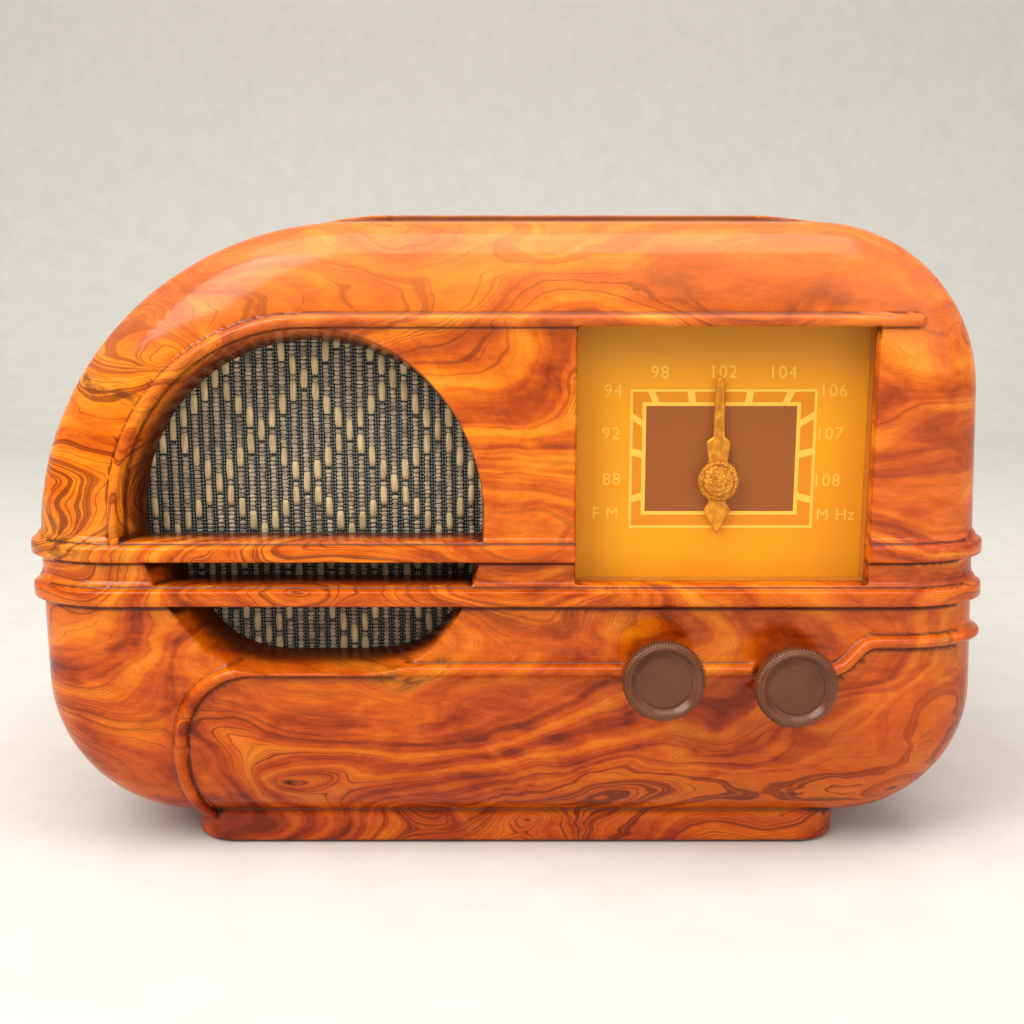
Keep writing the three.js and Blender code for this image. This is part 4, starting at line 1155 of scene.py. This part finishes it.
def add_floor():
    """A pale floor that sweeps up into a pale wall."""
    points, faces = [], []
    profile = [(-2.5, 0.0), (0.9, 0.0)]
    profile += [(0.9 + 0.5 * np.sin(a), 0.5 - 0.5 * np.cos(a)) for a in np.linspace(0.1, np.pi / 2, 14)]
    profile.append((1.4, 3.0))
    for x in (-3.0, 3.0):
        points += [(x, y, z) for y, z in profile]
    n = len(profile)
    faces = [(i, n + i, n + i + 1, i + 1) for i in range(n - 1)]
    mesh = bpy.data.meshes.new("floor")
    mesh.from_pydata(points, [], faces)
    mesh.shade_smooth()
    mesh.materials.append(floor_finish())
    floor = bpy.data.objects.new("floor", mesh)
    SCENE.collection.objects.link(floor)


# ---- build
add_camera()
add_lights()
add_floor()

BURL = burl_finish()
KNOB = plastic("knob_brown", srgb(98, 52, 28), 0.25, mottle=0.05, Specular_IOR_Level=0.35)
GILT = gilt_finish("gilt", False)
GILT_CHASED = gilt_finish("gilt_chased", True)
PRINT_PALE = print_finish("print_pale", srgb(250, 200, 76), 0.2)
PRINT_BROWN = print_finish("print_brown", srgb(152, 78, 34), 0.15)
PRINT_ORANGE = print_finish("print_orange", srgb(226, 138, 4), 0.15)
GROUND = ground_finish()
STRAW_YARN = yarn_finish("straw_yarn", srgb(158, 132, 92), srgb(230, 204, 156), (3.0, 3.0, 0.25))
RIB_YARN = rib_finish()

HUB = (middle("pointer_hub_cap").x, middle("pointer_hub_cap").z)

dress("cabinet_shell", cabinet_mesh(), BURL, "cabinet", "case")
cloth_pieces()
dial_print()
pointer_piece()
hub_piece()
knob("volume_knob_shape", VOLUME, "volume")
knob("tuning_knob_shape", TUNING, "tuning")

BROWN = plastic("brown_plastic", srgb(92, 58, 40), 0.45)
AMBER_WALL = plastic("amber_wall", srgb(186, 112, 26), 0.5)
BLACK = plastic("black_plastic", srgb(34, 31, 29), 0.4)
STEEL = metal("screw_steel", srgb(176, 174, 168), 0.3, scale=900.0)
ZINC = metal("zinc_steel", srgb(150, 152, 152), 0.38, scale=200.0)
TURNED = metal("shaft_steel", srgb(172, 170, 166), 0.25, streak=(1, 12, 1))
ALLOY = metal("aluminium", srgb(196, 198, 200), 0.36, streak=(1, 1, 6))
BRASS = metal("brass", srgb(196, 152, 78), 0.3)
FELT = paper_finish("felt", srgb(26, 24, 22), srgb(58, 54, 50))
PAPER = paper_finish("cone_paper", srgb(34, 32, 31), srgb(72, 68, 64))
TAPE = paper_finish("winding_tape", srgb(150, 92, 34), srgb(204, 146, 70))
CORD = paper_finish("cord", srgb(140, 122, 84), srgb(206, 190, 150))
FERRITE = plastic("ferrite", srgb(54, 54, 56), 0.6, mottle=0.1)
CLEAR = glass_finish("clear_dial", (0.9, 0.62, 0.25), 0.02, 0.05)
BULB = glass_finish("bulb_glass", (1.0, 0.97, 0.9), 0.35, 0.05)

FINISHES = {}
for finish, starts in (
    (hardboard_finish(), "back_cover baffle_board"),
    (STEEL, "back_screw baffle_screw speaker_screw bracket_screw board_screw tuning_nut volume_nut"),
    (BLACK, "mains_inlet aerial_terminals filter_capacitor"),
    (ZINC, "speaker_basket speaker_yoke tuner_bracket volume_control transformer_core"),
    (TURNED, "tuning_spindle tuning_shaft volume_shaft"), (BRASS, "tuning_bush lamp_holder"),
    (ALLOY, "tuner_frame tuner_rotor tuner_stator shield_can"), (PAPER, "speaker_cone speaker_dust_cap"),
    (FERRITE, "speaker_magnet"), (CLEAR, "dial_cover"), (AMBER_WALL, "dial_spacer"), (BROWN, "cord_drum"),
    (dial_finish(), "dial_plate"), (FELT, "foot"), (CORD, "dial_cord"), (BULB, "lamp_bulb"),
    (board_finish(), "circuit_board"), (TAPE, "transformer_coil"),
):
    for start in starts.split():
        FINISHES[start] = finish
for name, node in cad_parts.items():
    if node.hide_render:
        continue
    start = max((k for k in FINISHES if name.startswith(k)), key=len)
    node.data.materials.clear()
    node.data.materials.append(FINISHES[start])
